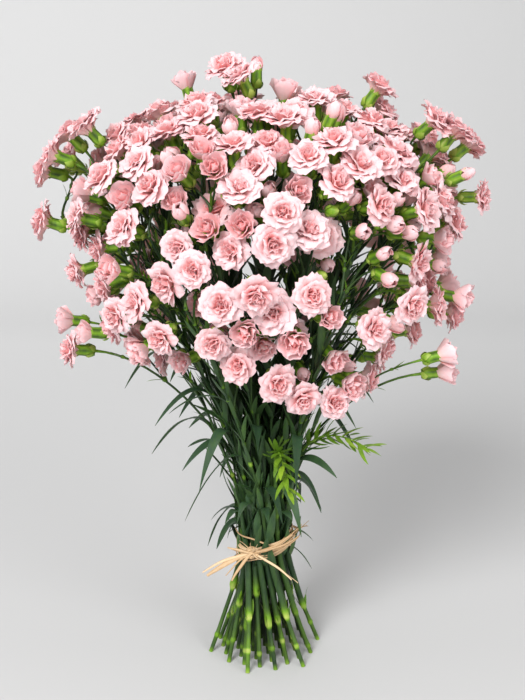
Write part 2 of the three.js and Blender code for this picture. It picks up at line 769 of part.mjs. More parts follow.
// A blade with a keel: widest near its middle, three-sided, and pointed at its end.
function bladeSolid(leaf, profile, thickness) {
  const rings = profile.map(([share, wide]) => {
    const centre = leaf.curve.getPoint(share);
    const along = leaf.curve.getTangent(share);
    const side = new THREE.Vector3().crossVectors(along, UP).normalize();
    const down = new THREE.Vector3().crossVectors(along, side).normalize();
    const half = wide * leaf.width;
    return {
      points: [
        centre.clone().addScaledVector(side, half),
        centre.clone().addScaledVector(down, thickness),
        centre.clone().addScaledVector(side, -half),
      ],
    };
  });
  rings.push({ points: [leaf.curve.getPoint(1)] });
  return solidOf(loft(rings));
}

const LEAF_PROFILE = [[0, 0.3], [0.3, 1], [0.68, 0.8]];
const LEAFLET_PROFILE = [[0, 0.4], [0.5, 1]];

function sprayMesh(plan) {
  const solids = [stemSolid(plan), ...plan.heads.map(headSolid)];
  plan.leaves.forEach((leaf) => solids.push(bladeSolid(leaf, LEAF_PROFILE, LEAF_THICKNESS)));
  const name = "spray_" + String(plan.index).padStart(2, "0");
  const material = new THREE.MeshStandardMaterial({ color: 0xe9a6a8, roughness: 0.7, metalness: 0 });
  return meshOf(fused(solids), name, material);
}

function fillerMesh(plan) {
  const curve = fillerCurve(plan);
  const marks = [0, 0.2, 0.4, 0.6, 0.8, 1];
  const shoot = loft(marks.map((share) => {
    return ring(curve.getPoint(share), frameAlong(curve.getTangent(share)), 4, 1.4 - 0.6 * share);
  }));
  const solids = [stemSolid(plan), solidOf(shoot)];
  for (let n = 0; n < FILLER_LEAFLETS; n += 1) {
    solids.push(bladeSolid(fillerLeaflet(plan, curve, n), LEAFLET_PROFILE, 0.8));
  }
  const name = "filler_shoot_" + String(plan.index).padStart(2, "0");
  const material = new THREE.MeshStandardMaterial({ color: 0x7fa52c, roughness: 0.6, metalness: 0 });
  return meshOf(fused(solids), name, material);
}

function strandSolid(loop) {
  const rings = [];
  for (let i = 0; i < TIE_TURNS; i += 1) {
    const angle = (2 * Math.PI * (i + loop.phase)) / TIE_TURNS;
    rings.push({ points: loop.section.map(([out, up]) => tiePoint(loop, angle, out, up)) });
  }
  return solidOf(loft(rings, true));
}

function knotSolid() {
  const lump = new THREE.IcosahedronGeometry(6.4, 0);
  lump.scale(1, 0.62, 0.95).rotateZ(KNOT_ANGLE + Math.PI / 2);
  lump.translate(...tieKnot().toArray());
  lump.deleteAttribute("normal");
  lump.deleteAttribute("uv");
  return solidOf(mergeVertices(lump));
}

function tieMesh() {
  const solids = [strandSolid(BAND), strandSolid(TOP_STRAND), knotSolid()];
  TIE_ENDS.forEach((end) => {
    const curve = tieEndCurve(end);
    solids.push(bladeSolid({ curve, width: end.width }, [[0, 0.8], [0.5, 1], [0.9, 0.7]], 1));
  });
  const material = new THREE.MeshStandardMaterial({ color: 0xd9b27c, roughness: 0.8, metalness: 0 });
  return meshOf(fused(solids), "raffia_tie", material);
}

planSites();
placeStems();
placeTie();
placeFillers();
placeHeads();
placeCompanions();
placeLeaves();

const bunch = new THREE.Group();
plans.forEach((plan) => bunch.add(plan.filler ? fillerMesh(plan) : sprayMesh(plan)));
bunch.add(tieMesh());

export default bunch;
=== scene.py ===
"""A hand-tied bunch of pink spray carnations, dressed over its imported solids.

The same rules that set out the solids are worked through here again: stems through one lattice at the
tie, heads on a dome, each on a stalk from the stem whose spot is nearest. Each solid is then replaced by
thin petals, toothed calyxes, jointed stems, keeled leaves and raffia strands. Placement is in
millimetres, +Z up and the front to -Y, and every mesh is written in metres.
"""

import json
import math

import bpy
import numpy as np
from bpy.props import FloatProperty, FloatVectorProperty, PointerProperty
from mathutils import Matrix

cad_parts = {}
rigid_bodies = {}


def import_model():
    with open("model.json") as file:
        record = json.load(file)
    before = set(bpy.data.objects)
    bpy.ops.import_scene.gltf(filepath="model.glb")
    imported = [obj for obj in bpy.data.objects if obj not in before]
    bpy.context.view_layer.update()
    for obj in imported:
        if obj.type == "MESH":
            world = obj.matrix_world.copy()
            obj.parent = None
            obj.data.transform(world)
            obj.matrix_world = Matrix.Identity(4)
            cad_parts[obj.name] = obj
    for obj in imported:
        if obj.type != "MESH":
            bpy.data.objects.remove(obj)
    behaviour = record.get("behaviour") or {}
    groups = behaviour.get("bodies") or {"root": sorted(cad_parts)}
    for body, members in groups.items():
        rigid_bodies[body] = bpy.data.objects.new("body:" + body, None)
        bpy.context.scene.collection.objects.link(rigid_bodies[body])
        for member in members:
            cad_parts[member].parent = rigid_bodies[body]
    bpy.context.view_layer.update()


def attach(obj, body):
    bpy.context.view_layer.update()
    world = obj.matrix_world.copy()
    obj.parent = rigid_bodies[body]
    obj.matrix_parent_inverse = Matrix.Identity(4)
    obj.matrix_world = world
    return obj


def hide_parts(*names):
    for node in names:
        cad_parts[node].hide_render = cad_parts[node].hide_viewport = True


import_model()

bl_info = {
    "name": "Bunch of carnations",
    "version": (1, 0, 0),
    "blender": (4, 5, 0),
    "location": "View3D > Sidebar > Carnations",
    "description": "Builds a hand-tied bunch of spray carnations piece by piece",
    "category": "Add Mesh",
}

# Counts, shares and sizes in millimetres that the solids were set out with
STEM_SPOTS = 43
SPOT_PITCH = 6.8
LATTICE_TURN = 0.17
TIE_HEIGHT = 112
FLARE_ABOVE = 0.0092
FLARE_CURVE = 0.000042
FLARE_BELOW = 0.0195
TWIST = 0.5
HEAD_COUNT = 311
HEAD_CENTRE = 432
HEAD_RADIUS = 178
HEAD_RISE = 122
HEAD_DROP = 200
HEAD_SPAN = 2.35
DOME_FULLNESS = 0.86
LOWER_TAPER = 2.2
LOWEST_FACING = -0.12
DOME_DEPTH = 0.84
DOME_BACK = 1
BELT_CROWDING = 0.04
FRONT_CROWDING = 0.16
SPRAY_LIFT = 8.4
GOLDEN_ANGLE = 2.399963
RIM_OF_SPOTS = 21.5
HEAD_SHARING = 0.62
STEM_FOOT_RADIUS = 2.4
STEM_TIED_INRADIUS = 3.1
TIED_SPAN = 12
STEM_TIP_RADIUS = 1.5
JOINT_RADIUS = 3.9
STALK_RADIUS = 1.3
STALK_BASE_LOWEST = 185
NODE_SPACING = 8
CALYX_LENGTH = 17
CALYX_RADIUS = 5.1
COMPANION_SHARE = 0.11
BUD_FORK = 0.62
CLEARANCE = 0.9
SISTER_PRESS = 4
BLOOM_ROOM = 0.96
RIM_RADIUS = 3.2
LEAVES_PER_STEM = 3
LEAF_SHARE = 0.82
LEAF_LOWEST = 134
TIE_STRAND = 1.5
TIE_GAP = 0.7
TIE_TURNS = 18
BAND_HEIGHT = TIE_HEIGHT + 8
TIE_TILT = 3
KNOT_ANGLE = -1.95
FILLER_STEM_TOP = 215
FILLER_LEAFLETS = 12
FILLERS = {32: (48, -16), 33: (68, 10)}
TIED_RADIUS = STEM_TIED_INRADIUS / math.cos(math.pi / 6)
TRIES_AS_WANTED = 14
TRIES_HALF_OPEN = 17
TRIES = 20
STEP_IN = 3.4
TIE_OWNER = -1
THIN, SOFT = 1, 2
MOST_RODS = 9000
ROD_LENGTH = 12
HEART_OF_TIE = 2.2 * SPOT_PITCH
OPEN_SHARE = 0.72
HALF_SHARE = 0.18
FORK_GAIN = 0.72
FORK_RISE = 18
COMPANION_TRIES = 6
COMPANION_ROOM = 12
LEAF_TRIES = 8
STRAYS_FACE_FROM = 400
BLOOM_NECK_ROOM = 9
BAND_ROOM = 9
SHOOT_ROOM = 13

# Counts, shares and sizes in millimetres of the finer pieces
OPEN_KINDS = 10
HALF_KINDS = 4
BUD_KINDS = 3
OPEN_WIDENED = 1.09
OTHERS_WIDENED = 1.02
PETAL_ROUNDING = 0.22
PETAL_TOOTHING = 0.13
BRACT_THICKNESS = 0.5
LEAFLET_THICKNESS = 0.5
LEAFLETS_DRAWN = 3 * FILLER_LEAFLETS
TIED_LEAVES = 3
RAFFIA_TURNS = 9
FRAYS = 16
CALYX_SIDES = 10
CALYX_STRIPES = 0.44
STRAND_SIDES = 8
STRAND_THICKNESS = 0.75
LOOP_POINTS = 72
# Reach in millimetres, at the tie, of the painted shade that darkens the greens deep in the bunch
PAINTED_SHADE_REACH = 24
SHARP_ANGLE = math.radians(65)

# Studio: the camera's sensor in millimetres, the world's strength, the point that the lamps face, and for
# each lamp its name, its place and size in metres and its power in watts
SENSOR_WIDTH = 36
WORLD_STRENGTH = 0.47
MIDDLE = (0, 0, 0.35)
LAMPS = (
    ("key", (-1.0, -2.1, 1.9), 1.4, 84),
    ("fill", (1.6, -1.8, 1.3), 1.8, 28),
)

# The heights at which a stem may bend, and how far it strays from its spot there
BENDS = (
    (0, 0), (50, 0), (TIE_HEIGHT - TIED_SPAN, 0), (TIE_HEIGHT + TIED_SPAN, 0),
    (180, 0.9), (260, 1.3), (350, 1.4), (450, 1.4), (600, 1.4),
)
UP = np.array([0.0, 0.0, 1.0])

# Stage of a head: name, radius of the petals, how much it varies, and length beyond the calyx
OPEN = ("open", 17.2, 1.8, 13)
HALF = ("half", 12, 1.4, 16)
PINK_BUD = ("pink_bud", 6.6, 0.6, 12)
GREEN_BUD = ("green_bud", 4.8, 0.4, 13)

# Heads that hang low at the front, and heads that stand out from the dome on long side shoots:
# millimetres right, back and up
STRAYS = (
    (33, -78, 291), (61, -64, 281), (10, -90, 308), (-30, -84, 306), (80, -66, 298),
    (-176, -30, 322), (-160, -46, 342), (-184, -8, 345), (-150, -20, 304), (-132, -50, 326),
    (164, -30, 300), (160, -52, 322), (172, -6, 352), (176, -30, 372),
    (-199, 0, 484), (-194, -22, 502), (-198, -20, 440), (-176, -6, 516), (-184, 30, 494), (-160, -24, 524),
    (195, -10, 462), (186, 10, 506), (168, -20, 518), (178, -34, 484), (150, -30, 530),
    (-34, -10, 572), (-8, 6, 576), (-20, -34, 566), (-72, 10, 560), (100, -6, 556), (118, 12, 548),
)

# How the lowest leaf of a stem, near the tie, and the ones above it bend: shares of their length up and
# out, the least droop and what may be added to it, and their least length and half width
HANGING = (0.2, 0.55, 0.3, 0.5, 46, 4)
ARCHING = (0.42, 0.8, -0.15, 0.85, 58, 3.4)

# Loose ends of the raffia: across, rise and forward as the end leaves the knot, its length and half width
TIE_ENDS = (
    (-0.78, -0.42, 0.3, 60, 2.6),
    (-0.42, -0.62, 0.35, 44, 1.6),
    (1, 0.6, 0.15, 48, 1.8),
    (1.15, -0.42, 0.2, 42, 1.2),
    (-0.8, 0.25, 0.45, 30, 1.2),
)


def draw(index, channel):
    """A number from 0 to 1 fixed by two whole numbers, so every run gives the same bunch."""
    mask = 0xFFFFFFFF
    x = ((index + 1) * 374761393 + (channel + 1) * 668265263) & mask
    x = ((x ^ (x >> 13)) * 1274126177) & mask
    x ^= x >> 16
    return x / 4294967296


def spread(index, channel):
    """A drawn number from -1 to 1."""
    return 2 * draw(index, channel) - 1


def unit(vector):
    """A vector's direction, with length 1."""
    return vector / np.linalg.norm(vector)


def units(vectors):
    """The directions of many vectors, each with length 1."""
    return vectors / np.maximum(np.linalg.norm(vectors, axis=-1, keepdims=True), 1e-9)


def distance(a, b):
    return float(np.linalg.norm(a - b))


def flat_way(angle):
    """The level unit vector at an angle about the axis."""
    return np.array([math.cos(angle), math.sin(angle), 0])


def aside_at(u, v, angle):
    """The unit vector at an angle between two that stand across a direction."""
    return math.cos(angle) * u + math.sin(angle) * v


def lattice_spots():
    """The spots of a close-packed lattice nearest to its middle, nearest first and then by angle."""
    found = []
    for row in range(-5, 6):
        for column in range(-5, 6):
            x = (column + row / 2) * SPOT_PITCH
            y = row * SPOT_PITCH * math.sqrt(0.75)
            found.append((math.hypot(x, y), math.atan2(y, x)))
    found.sort(key=lambda spot: math.floor(spot[0] * 100 + 0.5) * 10 + spot[1])
    turned = [(radius, angle + LATTICE_TURN) for radius, angle in found[:STEM_SPOTS]]
    return [np.array([radius * math.cos(a), radius * math.sin(a)]) for radius, a in turned]


def opening(z):
    """How far the lattice has opened out at height z: evenly below the tie, and above it by a share of
    the height over the tie and of its square."""
    away = z - TIE_HEIGHT
    return np.where(away > 0, FLARE_ABOVE * away + FLARE_CURVE * away * away, FLARE_BELOW * away)


def bend_points(index, spot):
    """A stem's bends: its spot, strayed a little, grown by the hypotenuse of 1 and the opening, and
    turned back by a share of the opening's arctangent."""
    z, stray = np.array(BENDS, float).T
    bends = range(len(BENDS))
    x = spot[0] + stray * [spread(index, 40 + n) for n in bends]
    y = spot[1] + stray * [spread(index, 50 + n) for n in bends]
    scale = np.hypot(1, opening(z))
    angle = -TWIST * np.arctan(opening(z))
    return np.stack(
        [scale * (x * np.cos(angle) - y * np.sin(angle)), scale * (x * np.sin(angle) + y * np.cos(angle)), z],
        axis=1,
    )


def stem_points(plan, z):
    """Where a plan's stem is at heights z: straight from bend to bend."""
    bends = plan["bends"]
    z = np.asarray(z, float)
    x = np.interp(z, bends[:, 2], bends[:, 0])
    y = np.interp(z, bends[:, 2], bends[:, 1])
    return np.stack([x, y, z], axis=-1)


def is_outer(plan):
    """Whether a stem stands outside the heart of the tie."""
    return math.hypot(*plan["spot"]) > HEART_OF_TIE


def spot_of(point):
    """The spot at the tie that a point above it leads back to."""
    scale = float(np.hypot(1, opening(point[2])))
    angle = TWIST * math.atan(float(opening(point[2])))
    x = (point[0] * math.cos(angle) - point[1] * math.sin(angle)) / scale
    y = (point[0] * math.sin(angle) + point[1] * math.cos(angle)) / scale
    return x, y


def stem_radius(z):
    """Thin above and thick where old leaf sheaths wrap the stem at the tie, a bell curve in height."""
    away = np.maximum(0, np.abs(z - TIE_HEIGHT) - TIED_SPAN) / 16
    plain = STEM_FOOT_RADIUS + (STEM_TIP_RADIUS - STEM_FOOT_RADIUS) * np.clip(z / 400, 0, 1)
    return plain + (TIED_RADIUS - plain) * np.exp(-away**2)


def axes_along(direction):
    """Three unit vectors: two across a direction and the direction itself."""
    w = unit(direction)
    side = np.cross(w, UP) if abs(w[2]) < 0.999 else np.array([1.0, 0.0, 0.0])
    u = unit(side)
    return u, np.cross(w, u), w


def bezier(controls, shares):
    """Points of a Bezier curve with three or four control points, by its Bernstein weights."""
    t = np.asarray(shares, float)[..., None]
    n = len(controls) - 1
    total = 0
    for i, control in enumerate(controls):
        total = total + math.comb(n, i) * (1 - t) ** (n - i) * t**i * np.asarray(control, float)
    return total


class Room:
    """The room taken up by what has been placed, as round-ended rods that belong to a spot."""

    def __init__(self):
        self.count = 0
        self.a, self.b = np.zeros((2, MOST_RODS, 3))
        self.radius = np.zeros(MOST_RODS)
        self.kind, self.owner = np.zeros((2, MOST_RODS), int)

    def take(self, rods, owner):
        for a, b, radius, kind in rods:
            i = self.count
            self.a[i], self.b[i], self.radius[i], self.kind[i], self.owner[i] = a, b, radius, kind, owner
            self.count += 1

    def is_clear(self, rods, owner):
        """Whether each rod is further from every taken one than both radii and the clearance. Thin rods of
        one spray may meet, and its soft ones may be pressed into each other."""
        n = self.count
        middles = (self.a[:n] + self.b[:n]) / 2
        reaches = np.linalg.norm(self.a[:n] - self.b[:n], axis=1) / 2 + self.radius[:n]
        for a, b, radius, kind in rods:
            reach = distance(a, b) / 2 + radius
            near = np.linalg.norm((a + b) / 2 - middles, axis=1) <= reach + reaches + CLEARANCE
            alike = (self.owner[:n] == owner) & (self.kind[:n] == kind)
            if kind == THIN:
                near &= ~alike
            at = np.nonzero(near)[0]
            gaps = rod_distances(a, b, self.a[at], self.b[at])
            room = np.where(alike[at] & (kind == SOFT), -SISTER_PRESS, CLEARANCE)
            if np.any(gaps <= radius + self.radius[at] + room):
                return False
        return True

    def claims(self, rods, owner):
        """Takes the room of some rods if it is clear, and says whether it was."""
        clear = self.is_clear(rods, owner)
        if clear:
            self.take(rods, owner)
        return clear


def rod_distances(a, b, starts, ends):
    """The least distances between the straight piece from a to b and many others."""
    d1 = b - a
    d2 = ends - starts
    r = a - starts
    aa = max(float(d1 @ d1), 1e-9)
    ee = np.maximum(np.einsum("ij,ij->i", d2, d2), 1e-9)
    bb = d2 @ d1
    cc = r @ d1
    ff = np.einsum("ij,ij->i", d2, r)
    s = np.clip((bb * ff - cc * ee) / np.maximum(aa * ee - bb * bb, 1e-9), 0, 1)
    t = np.clip((bb * s + ff) / ee, 0, 1)
    s = np.clip((bb * t - cc) / aa, 0, 1)
    return np.linalg.norm(a + s[:, None] * d1 - starts - t[:, None] * d2, axis=1)


def rods_along(controls, radii, kinds):
    """Rods from mark to mark along a Bezier curve, one for each radius."""
    marks = bezier(controls, np.linspace(0, 1, len(radii) + 1))
    return list(zip(marks[:-1], marks[1:], radii, kinds))


def stage_of(k):
    """The stage that a head is meant to have."""
    share = draw(k, 1)
    if share < OPEN_SHARE:
        return OPEN
    return HALF if share < OPEN_SHARE + HALF_SHARE else PINK_BUD


def dome_site(k):
    """Where head k of the dome sits and which way it faces: golden-angle turns down a superellipse, with
    a sine that draws them together in a belt round the middle and another at the front."""
    order = (k + 0.5) / HEAD_COUNT
    share = order + BELT_CROWDING * math.sin(2 * math.pi * order)
    polar = math.acos(1 - (1 - math.cos(HEAD_SPAN)) * share)
    even = k * GOLDEN_ANGLE
    azimuth = even - FRONT_CROWDING * math.cos(even)
    out = flat_way(azimuth)
    depth = 1 - 0.09 * draw(k, 2)
    across = math.sin(polar) ** (DOME_FULLNESS if polar < math.pi / 2 else LOWER_TAPER)
    along = math.copysign(abs(math.cos(polar)) ** DOME_FULLNESS, math.cos(polar))
    place = out * HEAD_RADIUS * across * depth
    place[1] = DOME_DEPTH * place[1] + DOME_BACK
    place[2] = HEAD_CENTRE + (HEAD_RISE if along > 0 else HEAD_DROP) * along * depth
    place += 4 * np.array([spread(k, 3), spread(k, 4), spread(k, 5)])
    rise = max(LOWEST_FACING, math.cos(polar))
    facing = unit(out * math.sin(polar) / HEAD_RADIUS + UP * rise / HEAD_RISE)
    return place, facing


def stray_site(n):
    """Where a stray head sits, and its way out from a point inside the bunch."""
    place = np.array(STRAYS[n], float)
    lowest = LOWEST_FACING * math.hypot(place[0], place[1])
    rise = max(lowest, 0.8 * (place[2] - STRAYS_FACE_FROM))
    return place, unit(np.array([place[0], place[1], rise]))


def head_rods(head):
    """The rods that stand for one head and its stalk."""
    stage, radius = head["stage"], head["radius"]
    u, v, w = axes_along(head["facing"])
    base = head["base"]
    rods = [(head["start"], base, STALK_RADIUS, THIN)]
    if stage is GREEN_BUD:
        return [*rods, (base + 4 * w, base + (stage[3] - 4) * w, radius, 0)]
    mouth = base + CALYX_LENGTH * w
    rods.append((base, mouth, CALYX_RADIUS, 0))
    if stage is PINK_BUD:
        return [*rods, (mouth, mouth + (stage[3] - 5) * w, BLOOM_ROOM * radius, SOFT)]
    if stage is HALF:
        return [*rods, (mouth + 6 * w, mouth + (stage[3] - 7) * w, BLOOM_ROOM * radius, SOFT)]
    rods.append((mouth + 2 * w, mouth + 6 * w, BLOOM_NECK_ROOM, SOFT))
    rim = BLOOM_ROOM * radius - RIM_RADIUS
    corners = [mouth + 4 * w + rim * aside_at(u, v, math.pi * i / 3) for i in range(6)]
    rods += [(corners[i], corners[(i + 1) % 6], RIM_RADIUS, SOFT) for i in range(6)]
    return rods


def nearest_plan(plans, point):
    """The stem for a head: the one whose spot is nearest, with those that have fewer heads preferred."""
    x, y = spot_of(point)
    inward = min(1, RIM_OF_SPOTS / math.hypot(x, y))
    best, least = None, math.inf
    for plan in plans:
        apart = math.hypot(plan["spot"][0] - inward * x, plan["spot"][1] - inward * y)
        away = apart + HEAD_SHARING * len(plan["sites"])
        if plan["filler"] is None and away < least:
            best, least = plan, away
    return best


def stalk_start(plan, base, k):
    """How high on its stem a stalk starts: lower for a head that is further out."""
    near = stem_points(plan, base[2] - 45)
    reach = math.hypot(base[0] - near[0], base[1] - near[1])
    return max(STALK_BASE_LOWEST + 40 * draw(k, 17), base[2] - 34 - 22 * draw(k, 6) - 0.5 * reach)


def plan_sites(plans):
    """Gives each head's place to a stem, which is made as high as that head's stalk needs."""
    for k in range(-len(STRAYS), HEAD_COUNT):
        place, facing = stray_site(k + len(STRAYS)) if k < 0 else dome_site(k)
        plan = nearest_plan(plans, place)
        if k >= 0:
            place = place + facing * SPRAY_LIFT * spread(plan["index"], 16)
        base = place - CALYX_LENGTH * facing
        plan["sites"].append((k, place, facing))
        plan["top"] = max(plan["top"], stalk_start(plan, base, k))


def place_stems(plans, room):
    """Takes the room of each stem, as short rods along it."""
    for plan in plans:
        if plan["filler"]:
            plan["top"] = FILLER_STEM_TOP
        z = 0
        while z < plan["top"]:
            high = min(z + ROD_LENGTH, plan["top"])
            radius = float(stem_radius((z + high) / 2)) + 0.1
            rod = (stem_points(plan, z), stem_points(plan, high), radius, THIN)
            room.take([rod], plan["index"])
            z += ROD_LENGTH


def tie_radius(z):
    """How far out a strand of the tie lies at height z: just outside the outermost stem."""
    outermost = max(math.hypot(*spot) for spot in lattice_spots())
    return (outermost + TIED_RADIUS) * np.hypot(1, opening(z)) + TIE_GAP + TIE_STRAND


def tie_point(angle):
    """A point of the tie's tilted band: lowest at the knot, highest behind it."""
    z = BAND_HEIGHT - TIE_TILT * math.cos(angle - KNOT_ANGLE)
    r = float(tie_radius(z)) - TIE_STRAND
    return r * flat_way(angle) + z * UP


def knot_axes():
    """The ways out of the tie at the knot and along it to the right."""
    return flat_way(KNOT_ANGLE), flat_way(KNOT_ANGLE + math.pi / 2)


def tie_knot():
    """The middle of the knot, just outside the band."""
    return tie_point(KNOT_ANGLE) + 4.4 * knot_axes()[0]


def tie_end_curve(end):
    """Control points of a loose end: out from the knot, then up or down by its rise."""
    across, rise, forward, length, _ = end
    knot = tie_knot()
    out, aside = knot_axes()
    way = out * forward + aside * across
    drop = rise * length
    return knot, knot + 0.5 * length * way + 0.3 * drop * UP, knot + 0.9 * length * way + drop * UP


def place_tie(room):
    """Takes the room of the raffia: rods round the stems and along each loose end."""
    for i in range(TIE_TURNS):
        a = tie_point(2 * math.pi * i / TIE_TURNS)
        b = tie_point(2 * math.pi * (i + 1) / TIE_TURNS)
        room.take([(a, b, BAND_ROOM, 0)], TIE_OWNER)
    for end in TIE_ENDS:
        room.take(rods_along(tie_end_curve(end), [end[4] + 0.3] * 5, [0] * 5), TIE_OWNER)


def filler_curve(plan):
    """Control points of a filler shoot: on along its stem, then out and over by its reach and rise."""
    root = stem_points(plan, plan["top"])
    rise = unit(root - stem_points(plan, plan["top"] - 20))
    out = unit(np.array([root[0], root[1], 0]))
    reach, lift = plan["filler"]
    return root, root + 38 * rise + 12 * out, root + reach * out + lift * UP


def place_fillers(plans, room):
    """Takes the room of each filler shoot, as rods along its curve."""
    for plan in plans:
        if plan["filler"]:
            rods = rods_along(filler_curve(plan), [1.8] * 2 + [SHOOT_ROOM] * 4, [0] * 6)
            room.take(rods, plan["index"])


def root_of(plan, base, k):
    """The point that a stalk grows from: its stem, clear of the other stalks' nodes there, or the
    middle of a sister's stalk if that is closer. The sister comes with it."""
    z = min(plan["top"], stalk_start(plan, base, k))
    nodes = [sister["start"][2] for sister in plan["heads"] if not sister["forked"]]
    while z > STALK_BASE_LOWEST and any(abs(node - z) < NODE_SPACING for node in nodes):
        z -= 3
    root, parent = stem_points(plan, z), None
    for sister in plan["heads"]:
        if sister["forked"]:
            continue
        fork = (sister["start"] + sister["base"]) / 2
        shorter = distance(fork, base) < FORK_GAIN * distance(root, base)
        if shorter and base[2] - fork[2] > FORK_RISE:
            root, parent = fork, sister
    return root, parent


def stage_at(k, attempt):
    """A head's stage at a try: smaller and smaller after many tries."""
    wanted = stage_of(k)
    if attempt < TRIES_AS_WANTED:
        return wanted
    return HALF if attempt < TRIES_HALF_OPEN and wanted is OPEN else PINK_BUD


def place_heads(plans, room):
    """Heads are placed from the top of the dome down. One that meets a neighbour is tried deeper in,
    turned a little, and at last as a smaller stage."""
    ordered = sorted(
        ((k, plan["index"], place, facing) for plan in plans for k, place, facing in plan["sites"]),
        key=lambda site: site[0],
    )
    for k, index, place, facing in ordered:
        plan = plans[index]
        for attempt in range(TRIES):
            seed = k + 1000 * attempt
            stage = stage_at(k, attempt)
            radius = stage[1] + stage[2] * spread(seed, 7)
            lean = np.array([spread(seed, 8), spread(seed, 9), 0.3 + spread(seed, 10)])
            way = unit(facing + 0.3 * lean)
            shift = -STEP_IN * (attempt % TRIES_AS_WANTED)
            base = place + shift * facing - CALYX_LENGTH * way
            start, parent = root_of(plan, base, k)
            head = dict(k=k, base=base, facing=way, start=start, stage=stage, radius=radius)
            head.update(forked=parent is not None, parent=parent, share=0.5)
            if room.claims(head_rods(head), index):
                plan["heads"].append(head)
                break


def place_companions(plans, room):
    """Small green buds that sit beside some of the heads, on short stalks of their own."""
    for plan in plans:
        for head in list(plan["heads"]):
            if draw(head["k"], 11) > COMPANION_SHARE:
                continue
            for attempt in range(COMPANION_TRIES):
                seed = head["k"] + 5000 + 1000 * attempt
                u, v, _ = axes_along(head["facing"])
                aside = aside_at(u, v, 2 * math.pi * draw(seed, 12))
                start = head["start"] + BUD_FORK * (head["base"] - head["start"])
                base = head["base"] + (11 + 3 * draw(seed, 13)) * aside
                base = base + (-6 + 4 * draw(seed, 14)) * head["facing"]
                facing = unit(head["facing"] + 0.5 * aside)
                radius = GREEN_BUD[1] + GREEN_BUD[2] * spread(seed, 15)
                bud = dict(k=seed, base=base, facing=facing, start=start, stage=GREEN_BUD, radius=radius)
                bud.update(forked=True, parent=head, share=BUD_FORK)
                others = [other for other in plan["heads"] if other is not head]
                own_room = all(distance(other["base"], base) > COMPANION_ROOM for other in others)
                if own_room and room.claims(head_rods(bud), plan["index"]):
                    plan["heads"].append(bud)
                    break


def place_leaves(plans, room):
    """Long narrow leaves that arch out of the outer stems, in the stretch where the stems show."""
    for plan in plans:
        if plan["filler"] or not is_outer(plan):
            continue
        for n in range(LEAVES_PER_STEM):
            if draw(plan["index"] * 10 + n, 19) > LEAF_SHARE:
                continue
            for attempt in range(LEAF_TRIES):
                seed = plan["index"] * 10 + n + 1000 * attempt
                z = LEAF_LOWEST + 64 * n + 56 * draw(seed, 20)
                if z > plan["top"] - 10:
                    continue
                root = stem_points(plan, z)
                out = flat_way(math.atan2(root[1], root[0]) + 0.9 * spread(seed, 21))
                rise, reach, droop, sag, shortest, narrowest = HANGING if n == 0 else ARCHING
                length = shortest + 26 * draw(seed, 22)
                fall = (droop + sag * draw(seed, 23)) * length
                bend = root + 0.3 * length * out + rise * length * UP
                end = root + reach * length * out - fall * UP
                width = narrowest + 1.1 * draw(seed, 24)
                line = (root, bend, end)
                rods = rods_along(line, (2.4, width, width, width, width, 2.4), (THIN, THIN, 0, 0, 0, 0))
                if room.claims(rods, plan["index"]):
                    plan["leaves"].append((line, width, seed))
                    break


def lay_out():
    """The plans of all stems, with the heads and leaves that each one carries."""
    plans = []
    for index, spot in enumerate(lattice_spots()):
        plan = dict(index=index, spot=spot, filler=FILLERS.get(index), heads=[], sites=[], leaves=[], top=0)
        plan["bends"] = bend_points(index, spot)
        plans.append(plan)
    room = Room()
    plan_sites(plans)
    place_stems(plans, room)
    place_tie(room)
    place_fillers(plans, room)
    place_heads(plans, room)
    place_companions(plans, room)
    place_leaves(plans, room)
    return plans


# Forms: points, quads, triangles and a look of four shares that the materials read


def form(points, quads=(), triangles=(), look=(0, 0, 0, 0)):
    """A form of lists of any shape: they are laid out as rows of three, four, three and four numbers."""
    points = np.asarray(points, float).reshape(-1, 3)
    look = np.array(np.broadcast_to(np.asarray(look, float), (len(points), 4)))
    quads = np.asarray(quads, int).reshape(-1, 4)
    return points, quads, np.asarray(triangles, int).reshape(-1, 3), look


def look_over(shape, first, second=0.0, third=0.0, tone=0.0):
    """The four shares over a grid of points, each of them even or worked out point by point."""
    shares = (first, second, third, tone)
    return np.stack([np.broadcast_to(np.asarray(share, float), shape) for share in shares], axis=-1)


def full_turn(count):
    """Even angles round a full turn."""
    return 2 * math.pi * np.arange(count) / count


def round_about(r, angle, z):
    """Points at distances and angles about the axis, at heights z."""
    return np.stack(np.broadcast_arrays(r * np.cos(angle), r * np.sin(angle), z), axis=-1)


def stem_at(plan, z):
    """A stem's point at a height, two unit vectors across it there and one along it."""
    root, ahead = stem_points(plan, [z, z + 10])
    return root, *axes_along(ahead - root)


def curve_at(controls, share):
    """A curve's point at a share of its way, two unit vectors across it there and one along it."""
    before, at, after = bezier(controls, [share - 0.01, share, min(share + 0.01, 1)])
    return at, *axes_along(after - before)


def bell(x):
    """A bell curve: 1 in the middle and falling to 0 on both sides."""
    return np.exp(-(x**2))


def joined(forms):
    """Many forms as one, each with its corners counted on from the last."""
    starts = np.cumsum([0] + [len(one[0]) for one in forms[:-1]])
    return (
        np.concatenate([one[0] for one in forms]),
        np.concatenate([one[1] + start for one, start in zip(forms, starts)]),
        np.concatenate([one[2] + start for one, start in zip(forms, starts)]),
        np.concatenate([one[3] for one in forms]),
    )


def seated(one, axes, base, tone):
    """A form carried from its own axes to a place, with the tone of that copy as its last share."""
    points, quads, triangles, look = one
    look = look.copy()
    look[:, 3] = tone
    return points @ np.stack(axes) + base, quads, triangles, look


